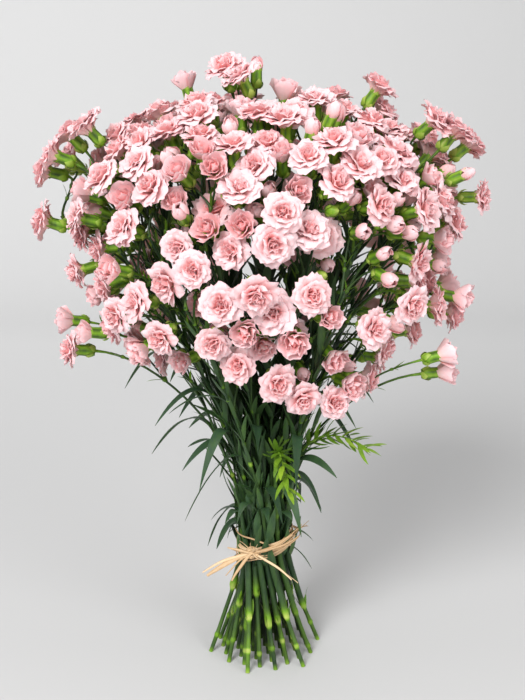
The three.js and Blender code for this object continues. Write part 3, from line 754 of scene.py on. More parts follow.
def shell(points, thickness, look):
    """A closed thin sheet from a grid of points: its back lies behind its face by the thickness along
    the cross product of the grid's two ways, and both share the edge."""
    rows, columns = points.shape[:2]
    along = np.gradient(points, axis=0)
    across = np.gradient(points, axis=1)
    normal = units(np.cross(along, across))
    face = np.arange(rows * columns).reshape(rows, columns)
    back = face.copy()
    inner = (rows - 2) * (columns - 2)
    back[1:-1, 1:-1] = rows * columns + np.arange(inner).reshape(rows - 2, columns - 2)
    behind = (points - thickness * normal)[1:-1, 1:-1]
    both = np.concatenate([look.reshape(-1, 4), look[1:-1, 1:-1].reshape(-1, 4)])
    front_quads = np.stack([face[:-1, :-1], face[1:, :-1], face[1:, 1:], face[:-1, 1:]], axis=-1)
    back_quads = np.stack([back[:-1, :-1], back[:-1, 1:], back[1:, 1:], back[1:, :-1]], axis=-1)
    quads = np.concatenate([front_quads.reshape(-1, 4), back_quads.reshape(-1, 4)])
    return form(np.concatenate([points.reshape(-1, 3), behind.reshape(-1, 3)]), quads, (), both)


def rings_form(rings, look):
    """A closed body from rings of points set one after another, with a pole at each end."""
    count, sides = rings.shape[:2]
    index = np.arange(count * sides).reshape(count, sides)
    after = np.roll(index, -1, axis=1)
    quads = np.stack([index[:-1], after[:-1], after[1:], index[1:]], axis=-1).reshape(-1, 4)
    low, high = count * sides, count * sides + 1
    first = np.stack([after[0], index[0], np.full(sides, low)], axis=-1)
    last = np.stack([index[-1], after[-1], np.full(sides, high)], axis=-1)
    points = np.concatenate([rings.reshape(-1, 3), rings[0].mean(0)[None], rings[-1].mean(0)[None]])
    look = np.concatenate([look.reshape(-1, 4), look[0].mean(0)[None], look[-1].mean(0)[None]])
    return form(points, quads, np.concatenate([first, last]), look)


def ways_across(path):
    """Two unit vectors across each point of a path, from its slope and the way it bends least."""
    slope = units(np.gradient(path, axis=0))
    least = np.eye(3)[np.argmin(np.abs(slope).sum(axis=0))]
    u = units(np.cross(slope, least))
    return u, np.cross(slope, u)


def tube(path, radii, sides, look, ribs=0.0):
    """A round rod: a circle of each radius carried along the path, with every other point of it moved
    in by the share of the radius that the ribs take."""
    u, v = ways_across(path)
    angle = full_turn(sides)[None, :, None]
    circle = np.cos(angle) * u[:, None] + np.sin(angle) * v[:, None]
    cut = 1 - np.broadcast_to(ribs, len(path))[:, None] * (np.arange(sides) % 2)
    rings = path[:, None] + (np.asarray(radii)[:, None] * cut)[:, :, None] * circle
    return rings_form(rings, np.broadcast_to(look[:, None], (len(path), sides, 4)))


def petal(line, width, turn, wrap, ruffle, roll, seed, size, inner, thickness):
    """A petal. Its middle line is a Bezier curve of radius and height. Across, it is as wide as a sine
    that grows from the claw up to a broad rounded end, laid partly flat and partly round the flower's
    axis. Its sides bend back, waves of two lengths lift it along its normal, most at the edge, and the
    rim is cut back in small uneven notches."""
    rows, columns = size
    u = (np.linspace(0, 1, rows) ** 0.8)[:, None]
    v = np.linspace(-1, 1, columns)[None, :]
    notch = np.array([draw(seed * 31 + i, 60) for i in range(columns)])[None, :]
    s = u * (1 - PETAL_ROUNDING * np.abs(v) ** 3 * u**2) * (1 - PETAL_TOOTHING * notch * u**6)
    controls = np.asarray(line, float)
    middle = bezier(controls, s)
    slope = units(bezier(controls, np.clip(s + 0.01, 0, 1.01)) - bezier(controls, s - 0.01))
    grow = 0.16 + 0.84 * np.sin(0.5 * math.pi * np.minimum(1, u / 0.85)) ** 1.2
    t = width * v * grow * (1 - 0.08 * (np.maximum(0, u - 0.75) / 0.25) ** 2)
    long_wave = np.sin((3.4 + 1.5 * draw(seed, 61)) * v + 6.3 * draw(seed, 62))
    short_wave = np.sin((7.4 + 2 * draw(seed, 63)) * v + 6.3 * draw(seed, 64))
    wave = 0.55 * long_wave + 0.5 * short_wave
    lift = ruffle * u**2 * wave + roll * t + 0.05 * spread(seed, 65) * t * u - 1.1 * v**2 * u
    r = middle[..., 0] - lift * slope[..., 1]
    z = middle[..., 1] + lift * slope[..., 0]
    around = wrap * t / np.maximum(r, 2.6) + turn
    flat = (1 - wrap) * t
    x = r * np.cos(around) - flat * np.sin(around)
    y = r * np.sin(around) + flat * np.cos(around)
    # Fold share: near 1 on wave crests, near 0 in troughs; the material paints crests paler and troughs
    # coral, partly as painted light and shade
    fold = 0.5 + 0.5 * np.clip(wave * u, -1, 1)
    return shell(np.stack([x, y, z], axis=-1), thickness, look_over(x.shape, u, fold, inner))


# Layers of petals, from the outside in: how many, half their width, their wrap round the axis, ruffle,
# roll, rows and columns, the depth of their colour, and the middle line as (out, up) in millimetres
OPEN_LAYERS = (
    (6, 9.8, 0.25, 1.7, 0.16, (6, 10), 0.0, ((1.5, -5), (4.5, 5), (12, 9), (18.2, 3.8))),
    (5, 8.8, 0.2, 2.1, 0.2, (6, 9), 0.2, ((1.4, -5), (3.6, 6), (9.5, 11), (14, 7.8))),
    (4, 7.6, 0.2, 2.4, 0.3, (5, 9), 0.5, ((1.2, -5), (3, 7), (6, 12.6), (9.4, 11.6))),
    (4, 6, 0.3, 2.3, 0.4, (5, 7), 0.75, ((1, -5), (2, 7), (3.6, 12), (5.2, 13.6))),
    (4, 4.4, 0.5, 1.9, 0.4, (4, 6), 0.9, ((0.6, -5), (0.9, 7), (1.3, 11.6), (1.9, 13.8))),
)
WIDE_LAYERS = (
    (6, 10, 0.25, 1.9, 0.16, (6, 10), 0.0, ((1.5, -5), (4.5, 5), (12, 8.4), (18.4, 4.2))),
    (5, 9.2, 0.2, 2.3, 0.2, (6, 9), 0.05, ((1.4, -5), (3.6, 6), (10, 9.8), (15.8, 7))),
    (5, 7.8, 0.2, 2.3, 0.3, (5, 9), 0.2, ((1.2, -5), (3, 7), (7.4, 11.4), (11.6, 9.8))),
    (4, 5.6, 0.3, 2.2, 0.4, (4, 7), 0.5, ((1, -5), (2, 7), (3.6, 11.4), (5.4, 12))),
    (3, 4.2, 0.4, 2, 0.4, (4, 6), 0.7, ((0.6, -5), (0.9, 6), (1.4, 10.6), (2.2, 12.2))),
)
HALF_LAYERS = (
    (5, 9.2, 0.9, 1.7, 0.16, (6, 8), 0.0, ((2, -5), (7, 2), (11, 8), (12, 12.4))),
    (4, 7.4, 0.6, 2.1, 0.25, (5, 8), 0.25, ((1.5, -5), (5, 3), (7.8, 9), (7.6, 14))),
    (3, 5, 0.5, 1.9, 0.35, (4, 7), 0.6, ((1, -5), (2.6, 5), (4, 11), (3, 15.6))),
)
BUD_LAYERS = (
    (4, 7.4, 1, 0.25, 0.12, (6, 7), 0.35, ((2.5, -4), (6.6, 0), (7.6, 8), (1.2, 12))),
    (3, 4.6, 1, 0.2, 0.1, (5, 6), 0.8, ((1.5, -3), (4, 2), (4.8, 9), (0.1, 11.9))),
)


def heart(width, top, seed):
    """The innermost petals, pressed together: circles on a low dome, with every other point drawn in."""
    fold = 1.0 - np.arange(8) % 2
    z = np.array([-4, 0.5 * top, 0.85 * top, top])[:, None] - 1.2 * (1 - fold)
    r = width * np.array([0.5, 1, 0.8, 0.35])[:, None] * (0.72 + 0.28 * fold)
    rings = round_about(r, full_turn(8) + seed, z)
    # Points drawn in get a low fold share, which the material paints coral as crease shade
    return rings_form(rings, look_over(r.shape, 0.6, 0.3 + 0.7 * fold, 0.8))


def bloom(layers, seed, petals):
    """The petals of one bloom about its own axis, its calyx mouth at height 0. Each petal's line, width
    and turn stray a little from its layer's, and the inner ones tilt either way, crumpled together."""
    forms = [] if layers is BUD_LAYERS else [heart(4.2, 10.6, seed)]
    opened = 1 + 0.1 * spread(seed, 50)
    for level, (count, width, wrap, ruffle, roll, size, inner, line) in enumerate(layers):
        for i in range(count):
            own = seed * 100 + level * 10 + i
            turn = 2 * math.pi * (i + 0.5 * level) / count + (0.22 + 0.14 * level) * spread(own, 51)
            bent = np.array(line, float)
            bent[2:, 1] += (2.3 if level == 0 else 1.6) * spread(own, 52)
            bent[1:, 0] *= (1 + (0.12 if level else 0.07) * spread(own, 53)) * (opened if level else 1)
            wide = width * (1 + 0.12 * spread(own, 54))
            waves = ruffle * petals.ruffle * (1 + 0.4 * spread(own, 55))
            thickness = petals.thickness * 1000
            tilt = roll if level < 2 else 1.5 * roll * spread(own, 57)
            forms.append(petal(bent, wide, turn, wrap, waves, tilt, own, size, inner, thickness))
    return joined(forms)


def calyx(opened):
    """A tube that swells from the stalk and ends in five pointed teeth: circles on a height profile,
    with every other point of the last ones raised. It turns in at its mouth and closes inside."""
    tooth = 1.0 - np.arange(CALYX_SIDES) % 2
    z = np.array([-0.6, 0.6, 3, 6.5, 11, 15, 17, 16.6, 11])
    r = np.array([1.5, 3.2, 4.9, 5.5, 5.3, 5.2, 5.3 + 0.9 * opened, 4.7 + 0.9 * opened, 3.6])
    teeth = np.array([0, 0, 0, 0, 0, -0.2, 4.4, 4.1, 0])
    heights = z[:, None] + teeth[:, None] * tooth
    heights[6:8] -= 1.2 * (1 - tooth)
    radii = r[:, None] * (1 + 0.03 * (1 - tooth))
    tint = np.array([0.6, 0.68, 0.62, 0.46, 0.34, 0.4, 0.88, 0.7, 0.5])[:, None]
    look = look_over(radii.shape, tint + CALYX_STRIPES * (tooth - 0.5))
    return rings_form(round_about(radii, full_turn(CALYX_SIDES), heights), look)


def bract(turn, base, reach, width, lift):
    """A small pointed scale against the calyx: a grid narrowed to its tip, wrapped round the axis."""
    u = np.linspace(0, 1, 4)[:, None]
    v = np.linspace(-1, 1, 3)[None, :]
    around = turn + v * width * (1 - 0.92 * u**1.5)
    points = round_about(base[0] + lift * np.sin(2.2 * u), around, base[1] + reach * u)
    return shell(points, BRACT_THICKNESS, look_over((4, 3), 0.55 + 0.3 * u))


def bracts(base_radius):
    """Two crossed pairs of scales at the foot of a calyx."""
    low = [bract(math.pi * i, (base_radius, -0.4), 6.5, 0.9, 2.4) for i in range(2)]
    high = [bract(math.pi * (i + 0.5), (base_radius, 0.2), 8.5, 0.8, 2.7) for i in range(2)]
    return joined(low + high)


def green_bud():
    """A closed bud: circles on an egg-shaped profile, pinched into five ridges towards the tip."""
    ridge = 1.0 - 2 * (np.arange(CALYX_SIDES) % 2)
    z = np.array([-0.4, 0.5, 2.4, 5, 8, 10.4, 12.2, 13.2])[:, None]
    r = np.array([1.4, 2.7, 4.2, 4.8, 4.3, 3.1, 1.6, 0.5])[:, None]
    rib = np.array([0, 0, 0.01, 0.02, 0.05, 0.1, 0.16, 0.2])[:, None]
    tint = np.array([0.55, 0.55, 0.5, 0.52, 0.6, 0.72, 0.85, 0.92])[:, None]
    radii = r * (1 + rib * ridge)
    rings = round_about(radii, full_turn(CALYX_SIDES), z)
    return joined([rings_form(rings, look_over(radii.shape, tint)), bracts(3.1)])


def stalk_curve(plan, head):
    """Control points of a side stalk. It leaves its stem upwards, or the curve of the stalk that it
    grows from, and comes up under the calyx."""
    start, base = head["start"], head["base"]
    rise = stem_points(plan, [start[2] - 5, start[2] + 5])
    slope = unit(unit(rise[1] - rise[0]) + 0.5 * unit(base - start))
    if head["parent"]:
        start = bezier(stalk_curve(plan, head["parent"]), head["share"])
    reach = distance(start, base)
    return start, start + 0.3 * reach * slope, base - 0.32 * reach * head["facing"], base


def stalk(plan, head):
    """A side stalk: a round rod along its curve, with a swollen node and two small narrow leaves part of
    the way along if it is long enough."""
    controls = stalk_curve(plan, head)
    reach = distance(controls[0], controls[3])
    count = 6 + int(reach / 16)
    shares = np.linspace(0, 1, count)
    path = bezier(controls, shares)
    radius = 0.95 if head["forked"] else 1.15
    radii = radius + 0.45 * bell((1 - shares) * reach / 5) + 0.9 * bell(shares * reach / 4)
    tint = 0.07 + 0.4 * shares**8 + 0.2 * bell(shares * reach / 5)
    tone = draw(head["k"], 70)
    forms = [tube(path, radii, 6, look_over(count, tint, tone=tone))]
    if reach > 34:
        for pair in range(1 + (reach > 75)):
            share = 0.45 + 0.3 * pair + 0.08 * spread(head["k"], 71)
            root, u, v, w = curve_at(controls, share)
            angle = 2 * math.pi * draw(head["k"], 72) + 1.6 * pair
            forms.append(stalk_node(root, w, radius, tone))
            length = 9 + 7 * draw(head["k"], 73 + pair)
            for side in (0, math.pi):
                out = aside_at(u, v, angle + side)
                line = sprung(root, w, out, length, (0.5, 0.25), (0.85, 0.75))
                forms.append(blade(line, 1.2, (5, 3), LEAFLET_THICKNESS, 0.42, 0.2, tone))
    return forms


def stalk_node(at, way, radius, tone):
    """A swollen ring on a stalk: a short spindle of circles."""
    heights = np.array([-3.4, -1.6, 0, 1.2, 2.2])
    look = look_over(5, (0.14, 0.24, 0.32, 0.26, 0.14), tone=tone)
    path = at + heights[:, None] * way
    return tube(path, radius * np.array([0.8, 1.35, 1.75, 1.5, 0.8]), 6, look)


def sprung(root, w, out, length, bend, end):
    """Control points of a leaf that springs from its root: for its bend and its end, the shares of its
    length along the stem and out of it."""
    steps = [share[0] * length * w + share[1] * length * out for share in (bend, end)]
    return root, root + steps[0], root + steps[1]


def blade(controls, width, size, thickness, tint, keel, tone, twist=0.0):
    """A leaf with a keel: across a Bezier curve, as wide as a sine raised to a low power that ends in a
    point, its middle sunk below its two edges, and turned about the curve by the twist."""
    rows, columns = size
    shares = np.linspace(0, 1, rows)
    path = bezier(controls, shares)
    slope = units(np.gradient(path, axis=0))
    flat = units(np.cross(slope, UP))
    down = np.cross(slope, flat)
    turn = (twist * shares**1.5)[:, None]
    side = np.cos(turn) * flat + np.sin(turn) * down
    under = np.cos(turn) * down - np.sin(turn) * flat
    grown = np.sin(np.pi * np.clip(0.16 + 0.84 * shares**0.85, 0, 1)) ** 0.75
    half = width * np.maximum(grown, 0.045)
    v = np.linspace(-1, 1, columns)[:, None]
    section = v * side[:, None] + keel * (1 - np.abs(v)) * under[:, None]
    points = path[:, None] + half[:, None, None] * section
    return shell(points, thickness, look_over((rows, columns), tint, 0, shares[:, None], tone))


def lower_joint(plan):
    """The height of a stem's swollen joint below the tie."""
    return 34 + 36 * draw(plan["index"], 30)


def stem_body(plan):
    """The main stem: circles carried up the lattice's path. Old leaf sheaths thicken it from a swollen
    joint below the tie up to the tie, and smaller joints ring it near its foot and above the tie."""
    index, top = plan["index"], plan["top"]
    joint = lower_joint(plan)
    near = joint + np.array([-6, -3.4, -2, -0.8, 0.6, 3, 7, 12, 18])
    levels = [0, 6, 16, *near, *np.arange(90, top, 14), top + 2.5]
    pale = (7 + 20 * draw(index, 128), 146 + 100 * draw(index, 130))
    knobs_at = (*pale, top * 0.62, top * 0.86)
    for knob in knobs_at:
        levels += [knob - 3, knob - 1, knob + 1, knob + 3]
    z = np.unique(np.clip(levels, 0, top + 2.5))
    z = z[np.concatenate([[True], np.diff(z) > 0.4])]
    sheath = np.clip((z - joint) / 6, 0, 1) * np.exp(-np.maximum(0, z - TIE_HEIGHT) / 26)
    radius = np.interp(z, [0, 120, 180, 260, 520], [2.15, 2.1, 1.6, 1.25, 1.05]) + 1.0 * sheath
    fade = 3.5 + 5.5 * draw(index, 127)
    away = np.where(z > joint, (z - joint) / fade, (joint - z) / 2)
    swell = (JOINT_RADIUS - 2.5 if is_outer(plan) else 0.7) * bell(away)
    knobs = sum(0.7 * bell((z - knob) / 2.2) for knob in knobs_at)
    foot = np.clip((70 - z) / 60, 0, 1) * draw(index, 125) ** 2
    glow = sum(bell((z - knob) / 2.4) for knob in pale) * (0.2 + 0.6 * draw(index, 129))
    tint = 0.02 + 0.22 * foot + (0.35 + 0.5 * draw(index, 126)) * bell(0.8 * away)
    tint += 0.5 * bell(z / 1.2) + 0.16 * knobs + glow
    look = look_over(len(z), tint, tone=draw(index, 74))
    return tube(stem_points(plan, z), radius + swell + knobs, 10, look, 0.03 + 0.16 * bell(away))


def stem_leaves(plan):
    """Narrow leaves in pairs at the stem's joints, some hugging it and some bent away."""
    forms = []
    index = plan["index"]
    inner = 1 if is_outer(plan) else 1.6
    knobs = np.arange(138 + 24 * draw(index, 33), 0.94 * plan["top"], 25)
    for n, knob in enumerate((*knobs, 0.86 * plan["top"])):
        root, u, v, w = stem_at(plan, knob)
        for side in (0, math.pi):
            seed = index * 40 + 2 * n + (side > 0)
            out = aside_at(u, v, 6.3 * draw(index, 75) + 1.57 * n + side)
            away = (0.16 + 0.3 * draw(seed, 77) ** 2) * inner**1.5
            line = sprung(root, w, out, 30 + 26 * draw(seed, 76), (0.5, 0.12), (0.88, away))
            width = (1.9 + 0.9 * draw(seed, 98)) * inner
            twist = 0.8 * spread(seed, 99)
            forms.append(blade(line, width, (7, 3), LEAFLET_THICKNESS, 0.1, 0.3, draw(seed, 78), twist))
    return forms


def tied_leaves(plan):
    """Broad leaves of an outer stem, caught under the tie or just over it: most hug the stems, and some
    bend out and hang."""
    forms = []
    for n in range(TIED_LEAVES):
        seed = plan["index"] * 10 + n
        z = 92 + 26 * n + 18 * draw(seed, 110)
        root, _, _, rise = stem_at(plan, z)
        out = flat_way(math.atan2(root[1], root[0]) + 1.1 * spread(seed, 111))
        around = 1.5 * spread(seed, 112) * np.array([-out[1], out[0], 0])
        length = 27 + 28 * draw(seed, 113)
        hangs = draw(seed, 114) < 0.22
        low = z < BAND_HEIGHT
        reach, fall = (0.5, 0.35 if low else 0.1) if hangs else (0.1 + 0.14 * draw(seed, 115), -0.85)
        root = root + 2 * out
        bend = root + (0.3 if hangs else 0.5) * length * rise + 0.16 * length * (out + around)
        end = root + reach * length * out + 0.25 * length * around - fall * length * UP
        width = 3 + 1.6 * draw(seed, 116)
        tint = 0.03 + 0.2 * draw(seed, 117) ** 2
        line = (root, bend, end)
        forms.append(blade(line, width, (10, 5), 0.6, tint, 0.3, draw(seed, 118), spread(seed, 119)))
    return forms


def joint_stubs(plan):
    """Short pointed remains of the leaf pair at a stem's lower joint."""
    root, u, v, w = stem_at(plan, lower_joint(plan))
    forms = []
    for side in (0, math.pi):
        seed = plan["index"] * 2 + (side > 0)
        out = aside_at(u, v, 6.3 * draw(plan["index"], 120) + side)
        length = 9 + 15 * draw(seed, 121) ** 2
        away = 0.1 + 0.35 * draw(seed, 122)
        line = sprung(root + 2.4 * out, w, out, length, (0.5, 0.08), (0.85, away))
        tint = 0.2 + 0.4 * draw(seed, 123)
        forms.append(blade(line, 1.7, (6, 3), LEAFLET_THICKNESS, tint, 0.3, draw(seed, 124)))
    return forms


def long_leaf(controls, width, seed):
    """A long leaf where the solids have one, slightly twisted."""
    twist = math.copysign(0.5 + 0.9 * draw(seed, 80), spread(seed, 79))
    return blade(controls, 1.25 * width, (16, 5), 0.7, 0.04, 0.28, draw(seed, 79), twist)


def filler_form(plan):
    """A filler shoot: its tapering stem and narrow leaflets set round it by the golden angle."""
    controls = filler_curve(plan)
    shares = np.linspace(0, 1, 16)
    look = look_over(16, 0.5 + 0.4 * shares)
    forms = [tube(bezier(controls, shares), 1.3 - 0.9 * shares, 8, look)]
    for n in range(LEAFLETS_DRAWN):
        share = 0.08 + 0.9 * n / (LEAFLETS_DRAWN - 1)
        root, u, v, w = curve_at(controls, share)
        aside = aside_at(u, v, n * GOLDEN_ANGLE / 2 + plan["index"])
        length = (27 - 8 * share) * (0.75 + 0.4 * draw(n, 83))
        line = sprung(root, w, aside, length, (0.3, 0.42), (0.75, 0.62))
        tint = 0.1 + 0.45 * share + 0.4 * draw(n, 81)
        twist = 0.6 * spread(n, 84)
        forms.append(blade(line, 2.5, (8, 3), 0.45, tint, 0.25, draw(n, 82), twist))
    return forms


def ribbon(path, half_width, thickness, facing, look, closed=False):
    """A flat strand: an eight-point lens of the width and thickness carried along the path, its flat
    side towards the facing vectors. Its look holds where each point lies across it, which the raffia uses for
    painted shade at the edges, then the strand's own share, its length and its tone."""
    slope = np.roll(path, -1, axis=0) - np.roll(path, 1, axis=0) if closed else np.gradient(path, axis=0)
    slope = units(slope)
    wide = units(np.cross(slope, facing))
    thick = np.cross(slope, wide)
    angle = full_turn(STRAND_SIDES)
    a = np.asarray(half_width)[..., None, None] * np.cos(angle)[:, None]
    b = 0.5 * thickness * (np.sin(angle) + 0.35 * np.sin(3 * angle))[:, None]
    rings = path[:, None] + a * wide[:, None] + b * thick[:, None]
    strand, length, tone = look
    along = np.linspace(0, length, len(path))[:, None]
    look = look_over(rings.shape[:2], np.cos(angle), strand, along, tone)
    if not closed:
        return rings_form(rings, look)
    index = np.arange(len(path) * STRAND_SIDES).reshape(rings.shape[:2])
    after = np.roll(index, -1, axis=1)
    quads = np.stack([index, after, np.roll(after, -1, axis=0), np.roll(index, -1, axis=0)], axis=-1)
    return form(rings, quads, (), look.reshape(-1, 4))


def raffia_loop(n, height, tilt, layer, half_width, loose=0.0):
    """One turn of raffia round the stems: a circle close to them, low at the left and high at the right,
    that wavers in height and distance by slow sines. A loose one stands off at the right."""
    angle = full_turn(LOOP_POINTS)
    phase = 6.3 * draw(n, 83)
    waver = 0.9 * np.sin(2 * angle + phase) + 0.6 * np.sin(5 * angle + 2 * phase)
    z = BAND_HEIGHT - 1 + height - tilt * np.cos(angle + 2.75) + waver
    right = np.maximum(0, np.cos(angle + 0.35)) ** 3
    r = tie_radius(z) - TIE_STRAND + layer + 0.25 * np.sin(7 * angle + phase) + loose * right
    z = z + 0.8 * loose * right
    facing = round_about(1, angle, 0.25 * np.sin(3 * angle + phase))
    look = (draw(n, 84), 190, draw(n, 85))
    return ribbon(round_about(r, angle, z), half_width, STRAND_THICKNESS, facing, look, True)


def raffia_end(end, n, shift, thinner):
    """A loose end: a ribbon along its curve, turned and bowed a little, narrowing at its cut."""
    knot, bend, far = tie_end_curve(end)
    stray = np.array([spread(n, 86), spread(n, 87), spread(n, 88)])
    shares = np.linspace(0, 1, 22)
    path = bezier((knot, bend + shift * stray, far + 2.2 * shift * stray), shares)
    path = path + 0.5 * np.sin(7 * shares + n)[:, None] * UP
    width = end[4] * thinner * (0.75 + 0.35 * np.sin(math.pi * shares) - 0.25 * shares)
    out = knot_axes()[0]
    turn = (0.9 * shares * spread(n, 89) + 0.5 * spread(n, 90))[:, None]
    facing = np.cos(turn) * (out + 0.3 * UP) + np.sin(turn) * (UP - 0.3 * out)
    return ribbon(path, width, 0.7, facing, (draw(n, 91), 60, draw(n, 92)))


def raffia_knot(n, size, lean):
    """A strand of the knot: a small loop, an ellipse that crosses over itself in depth."""
    out, aside = knot_axes()
    angle = full_turn(30)
    a = size[0] * np.cos(angle)
    b = size[1] * np.sin(angle)
    depth = size[2] * np.sin(2 * angle + n)
    across = np.cos(lean) * a - np.sin(lean) * b
    rise = np.sin(lean) * a + np.cos(lean) * b
    middle = tie_knot() - 0.6 * out
    path = middle + across[:, None] * aside + rise[:, None] * UP + depth[:, None] * out
    facing = out + 0.6 * np.sin(angle)[:, None] * UP
    return ribbon(path, 1.25, 0.8, facing, (draw(n, 93), 50, draw(n, 94)), True)


def raffia_fray(n):
    """A thin fibre that has come away: a short bowed ribbon from the knot, or up from the band's right."""
    out, aside = knot_axes()
    from_band = n % 3 == 2
    if from_band:
        root = tie_point(-0.55 + 0.5 * spread(n, 101)) + 6 * UP
        way = unit(0.4 * out + (0.8 + 0.7 * draw(n, 102)) * aside + (0.7 + 0.6 * draw(n, 103)) * UP)
    else:
        root = tie_knot()
        way = unit(0.35 * out + 1.2 * spread(n, 102) * aside + 0.8 * spread(n, 103) * UP)
    length = (9 + 12 * draw(n, 104)) * (1.6 if from_band else 1)
    bow = 0.25 * length * unit(np.array([spread(n, 105), spread(n, 106), spread(n, 107)]))
    path = bezier((root, root + 0.5 * length * way + bow, root + length * way), np.linspace(0, 1, 9))
    width = np.linspace(0.8 if from_band else 0.55, 0.25, 9)
    return ribbon(path, width, 0.35, out + 0.4 * UP, (draw(n, 91), 40, draw(n, 92)))


def raffia_forms():
    """All strands: the band's turns, four loose turns, one that crosses it, the ends, the knot and fibres."""
    forms = []
    for n in range(RAFFIA_TURNS):
        height = 11 * (n / (RAFFIA_TURNS - 1) - 0.5) + 0.8 * spread(n, 95)
        tilt = 7 + 2.4 * spread(n, 100)
        forms.append(raffia_loop(n, height, tilt, -1.4 + 1.8 * draw(n, 96), 0.7 + 0.55 * draw(n, 97)))
    for n, loose in enumerate((2.5, 5, 8, -2)):
        forms.append(raffia_loop(20 + n, 3 - 3 * n, 5.5 + 1.2 * n, 0.4, 0.75, loose))
    forms.append(raffia_loop(30, 4, -7, 0.7, 0.9))
    for n, end in enumerate(TIE_ENDS):
        forms.append(raffia_end(end, n, 0, 1))
        forms.append(raffia_end(end, n + 10, 3.2, 0.55))
    for n, lean in enumerate((0.5, -0.6, 1.3, 0.1)):
        forms.append(raffia_knot(n, (6.4 - 0.5 * n, 3.6, 1.6 + 0.3 * n), lean))
    forms += [raffia_fray(n) for n in range(FRAYS)]
    return forms


# Blender objects and materials


def placed(name, data):
    """A new object with its data, in the scene."""
    thing = bpy.data.objects.new(name, data)
    bpy.context.scene.collection.objects.link(thing)
    return thing


def make_piece(name, whole, material, node):
    """A mesh object of a form, in metres, that stands for a solid."""
    points, quads, triangles, look = whole
    mesh = bpy.data.meshes.new(name)
    corners = np.concatenate([quads.ravel(), triangles.ravel()]).astype(np.int32)
    sizes = np.concatenate([np.full(len(quads), 4), np.full(len(triangles), 3)])
    mesh.vertices.add(len(points))
    mesh.vertices.foreach_set("co", (points * 0.001).astype(np.float32).ravel())
    mesh.loops.add(len(corners))
    mesh.loops.foreach_set("vertex_index", corners)
    mesh.polygons.add(len(sizes))
    mesh.polygons.foreach_set("loop_start", (np.cumsum(sizes) - sizes).astype(np.int32))
    mesh.update(calc_edges=True)
    mesh.shade_smooth()
    mesh.set_sharp_from_angle(angle=SHARP_ANGLE)
    look_layer = mesh.attributes.new("look", "FLOAT_VECTOR", "POINT")
    look_layer.data.foreach_set("vector", look[:, :3].astype(np.float32).ravel())
    tone_layer = mesh.attributes.new("tone", "FLOAT", "POINT")
    tone_layer.data.foreach_set("value", look[:, 3].astype(np.float32))
    mesh.materials.append(material)
    piece = placed(name, mesh)
    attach(piece, "root")
    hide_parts(node)


class Value:
    """A number socket. A sum or product with it adds the Math node that works it out."""

    def __init__(self, shader, socket):
        self.shader = shader
        self.socket = socket

    def math(self, operation, *others):
        names = {str(i): other for i, other in enumerate(others)}
        return self.shader.add("ShaderNodeMath", {"operation": operation}, names)

    def __add__(self, other):
        return self.math("ADD", self, other)

    __radd__ = __add__

    def __sub__(self, other):
        return self.math("SUBTRACT", self, other)

    def __rsub__(self, other):
        return self.math("SUBTRACT", other, self)

    def __mul__(self, other):
        return self.math("MULTIPLY", self, other)

    __rmul__ = __mul__

    def __pow__(self, other):
        return self.math("POWER", self, other)

    def held(self):
        return self.math("MINIMUM", self.math("MAXIMUM", self, 0), 1)


class Shader:
    """The nodes of one material."""

    def __init__(self, name):
        self.material = bpy.data.materials.new(name)
        self.material.use_nodes = True
        self.tree = self.material.node_tree
        self.tree.nodes.clear()

    def add(self, kind, settings=None, inputs=None, output=0):
        """A node of a kind: its settings first, then the values or links of its sockets. A socket is
        named by its number, its identifier or its label."""
        node = self.tree.nodes.new(kind)
        for key, value in (settings or {}).items():
            setattr(node, key, value)
        for key, value in (inputs or {}).items():
            found = [s for s in node.inputs if key in (s.identifier, s.name)]
            socket = node.inputs[int(key)] if key.isdigit() else found[0]
            if isinstance(value, Value):
                self.tree.links.new(value.socket, socket)
            elif socket.type == "RGBA":
                socket.default_value = (*value, 1)
            else:
                socket.default_value = value
        outs = {s.identifier: s for s in node.outputs}
        return Value(self, node.outputs[output] if isinstance(output, int) else outs[output])

    def mix(self, factor, low, high):
        """A blend of two colours."""
        inputs = {"Factor_Float": factor, "A_Color": low, "B_Color": high}
        return self.add("ShaderNodeMix", {"data_type": "RGBA"}, inputs, "Result_Color")

    def parts(self, vector):
        """The three numbers of a vector."""
        split = self.add("ShaderNodeSeparateXYZ", None, {"Vector": vector})
        return [Value(self, out) for out in split.socket.node.outputs]

    def shares(self):
        """The three shares of the look attribute and the tone."""
        look = self.add("ShaderNodeAttribute", {"attribute_name": "look"}, output="Vector")
        tone = self.add("ShaderNodeAttribute", {"attribute_name": "tone"}, output="Fac")
        return *self.parts(look), tone

    def place(self, scale=(1, 1, 1)):
        spot = self.add("ShaderNodeTexCoord", output="Object")
        return self.add("ShaderNodeMapping", None, {"Vector": spot, "Scale": scale})

    def noise(self, scale, detail=2.0, vector=None):
        inputs = {"Vector": vector or self.place(), "Scale": scale, "Detail": detail}
        return self.add("ShaderNodeTexNoise", None, inputs, "Fac")

    def bump(self, height, strength, reach):
        inputs = {"Strength": strength, "Distance": reach, "Height": height}
        return self.add("ShaderNodeBump", None, inputs)

    def finish(self, **inputs):
        named = {name.replace("_", " "): value for name, value in inputs.items()}
        surface = self.add("ShaderNodeBsdfPrincipled", None, named)
        output = self.tree.nodes.new("ShaderNodeOutputMaterial")
        self.tree.links.new(surface.socket, output.inputs["Surface"])
        return self.material


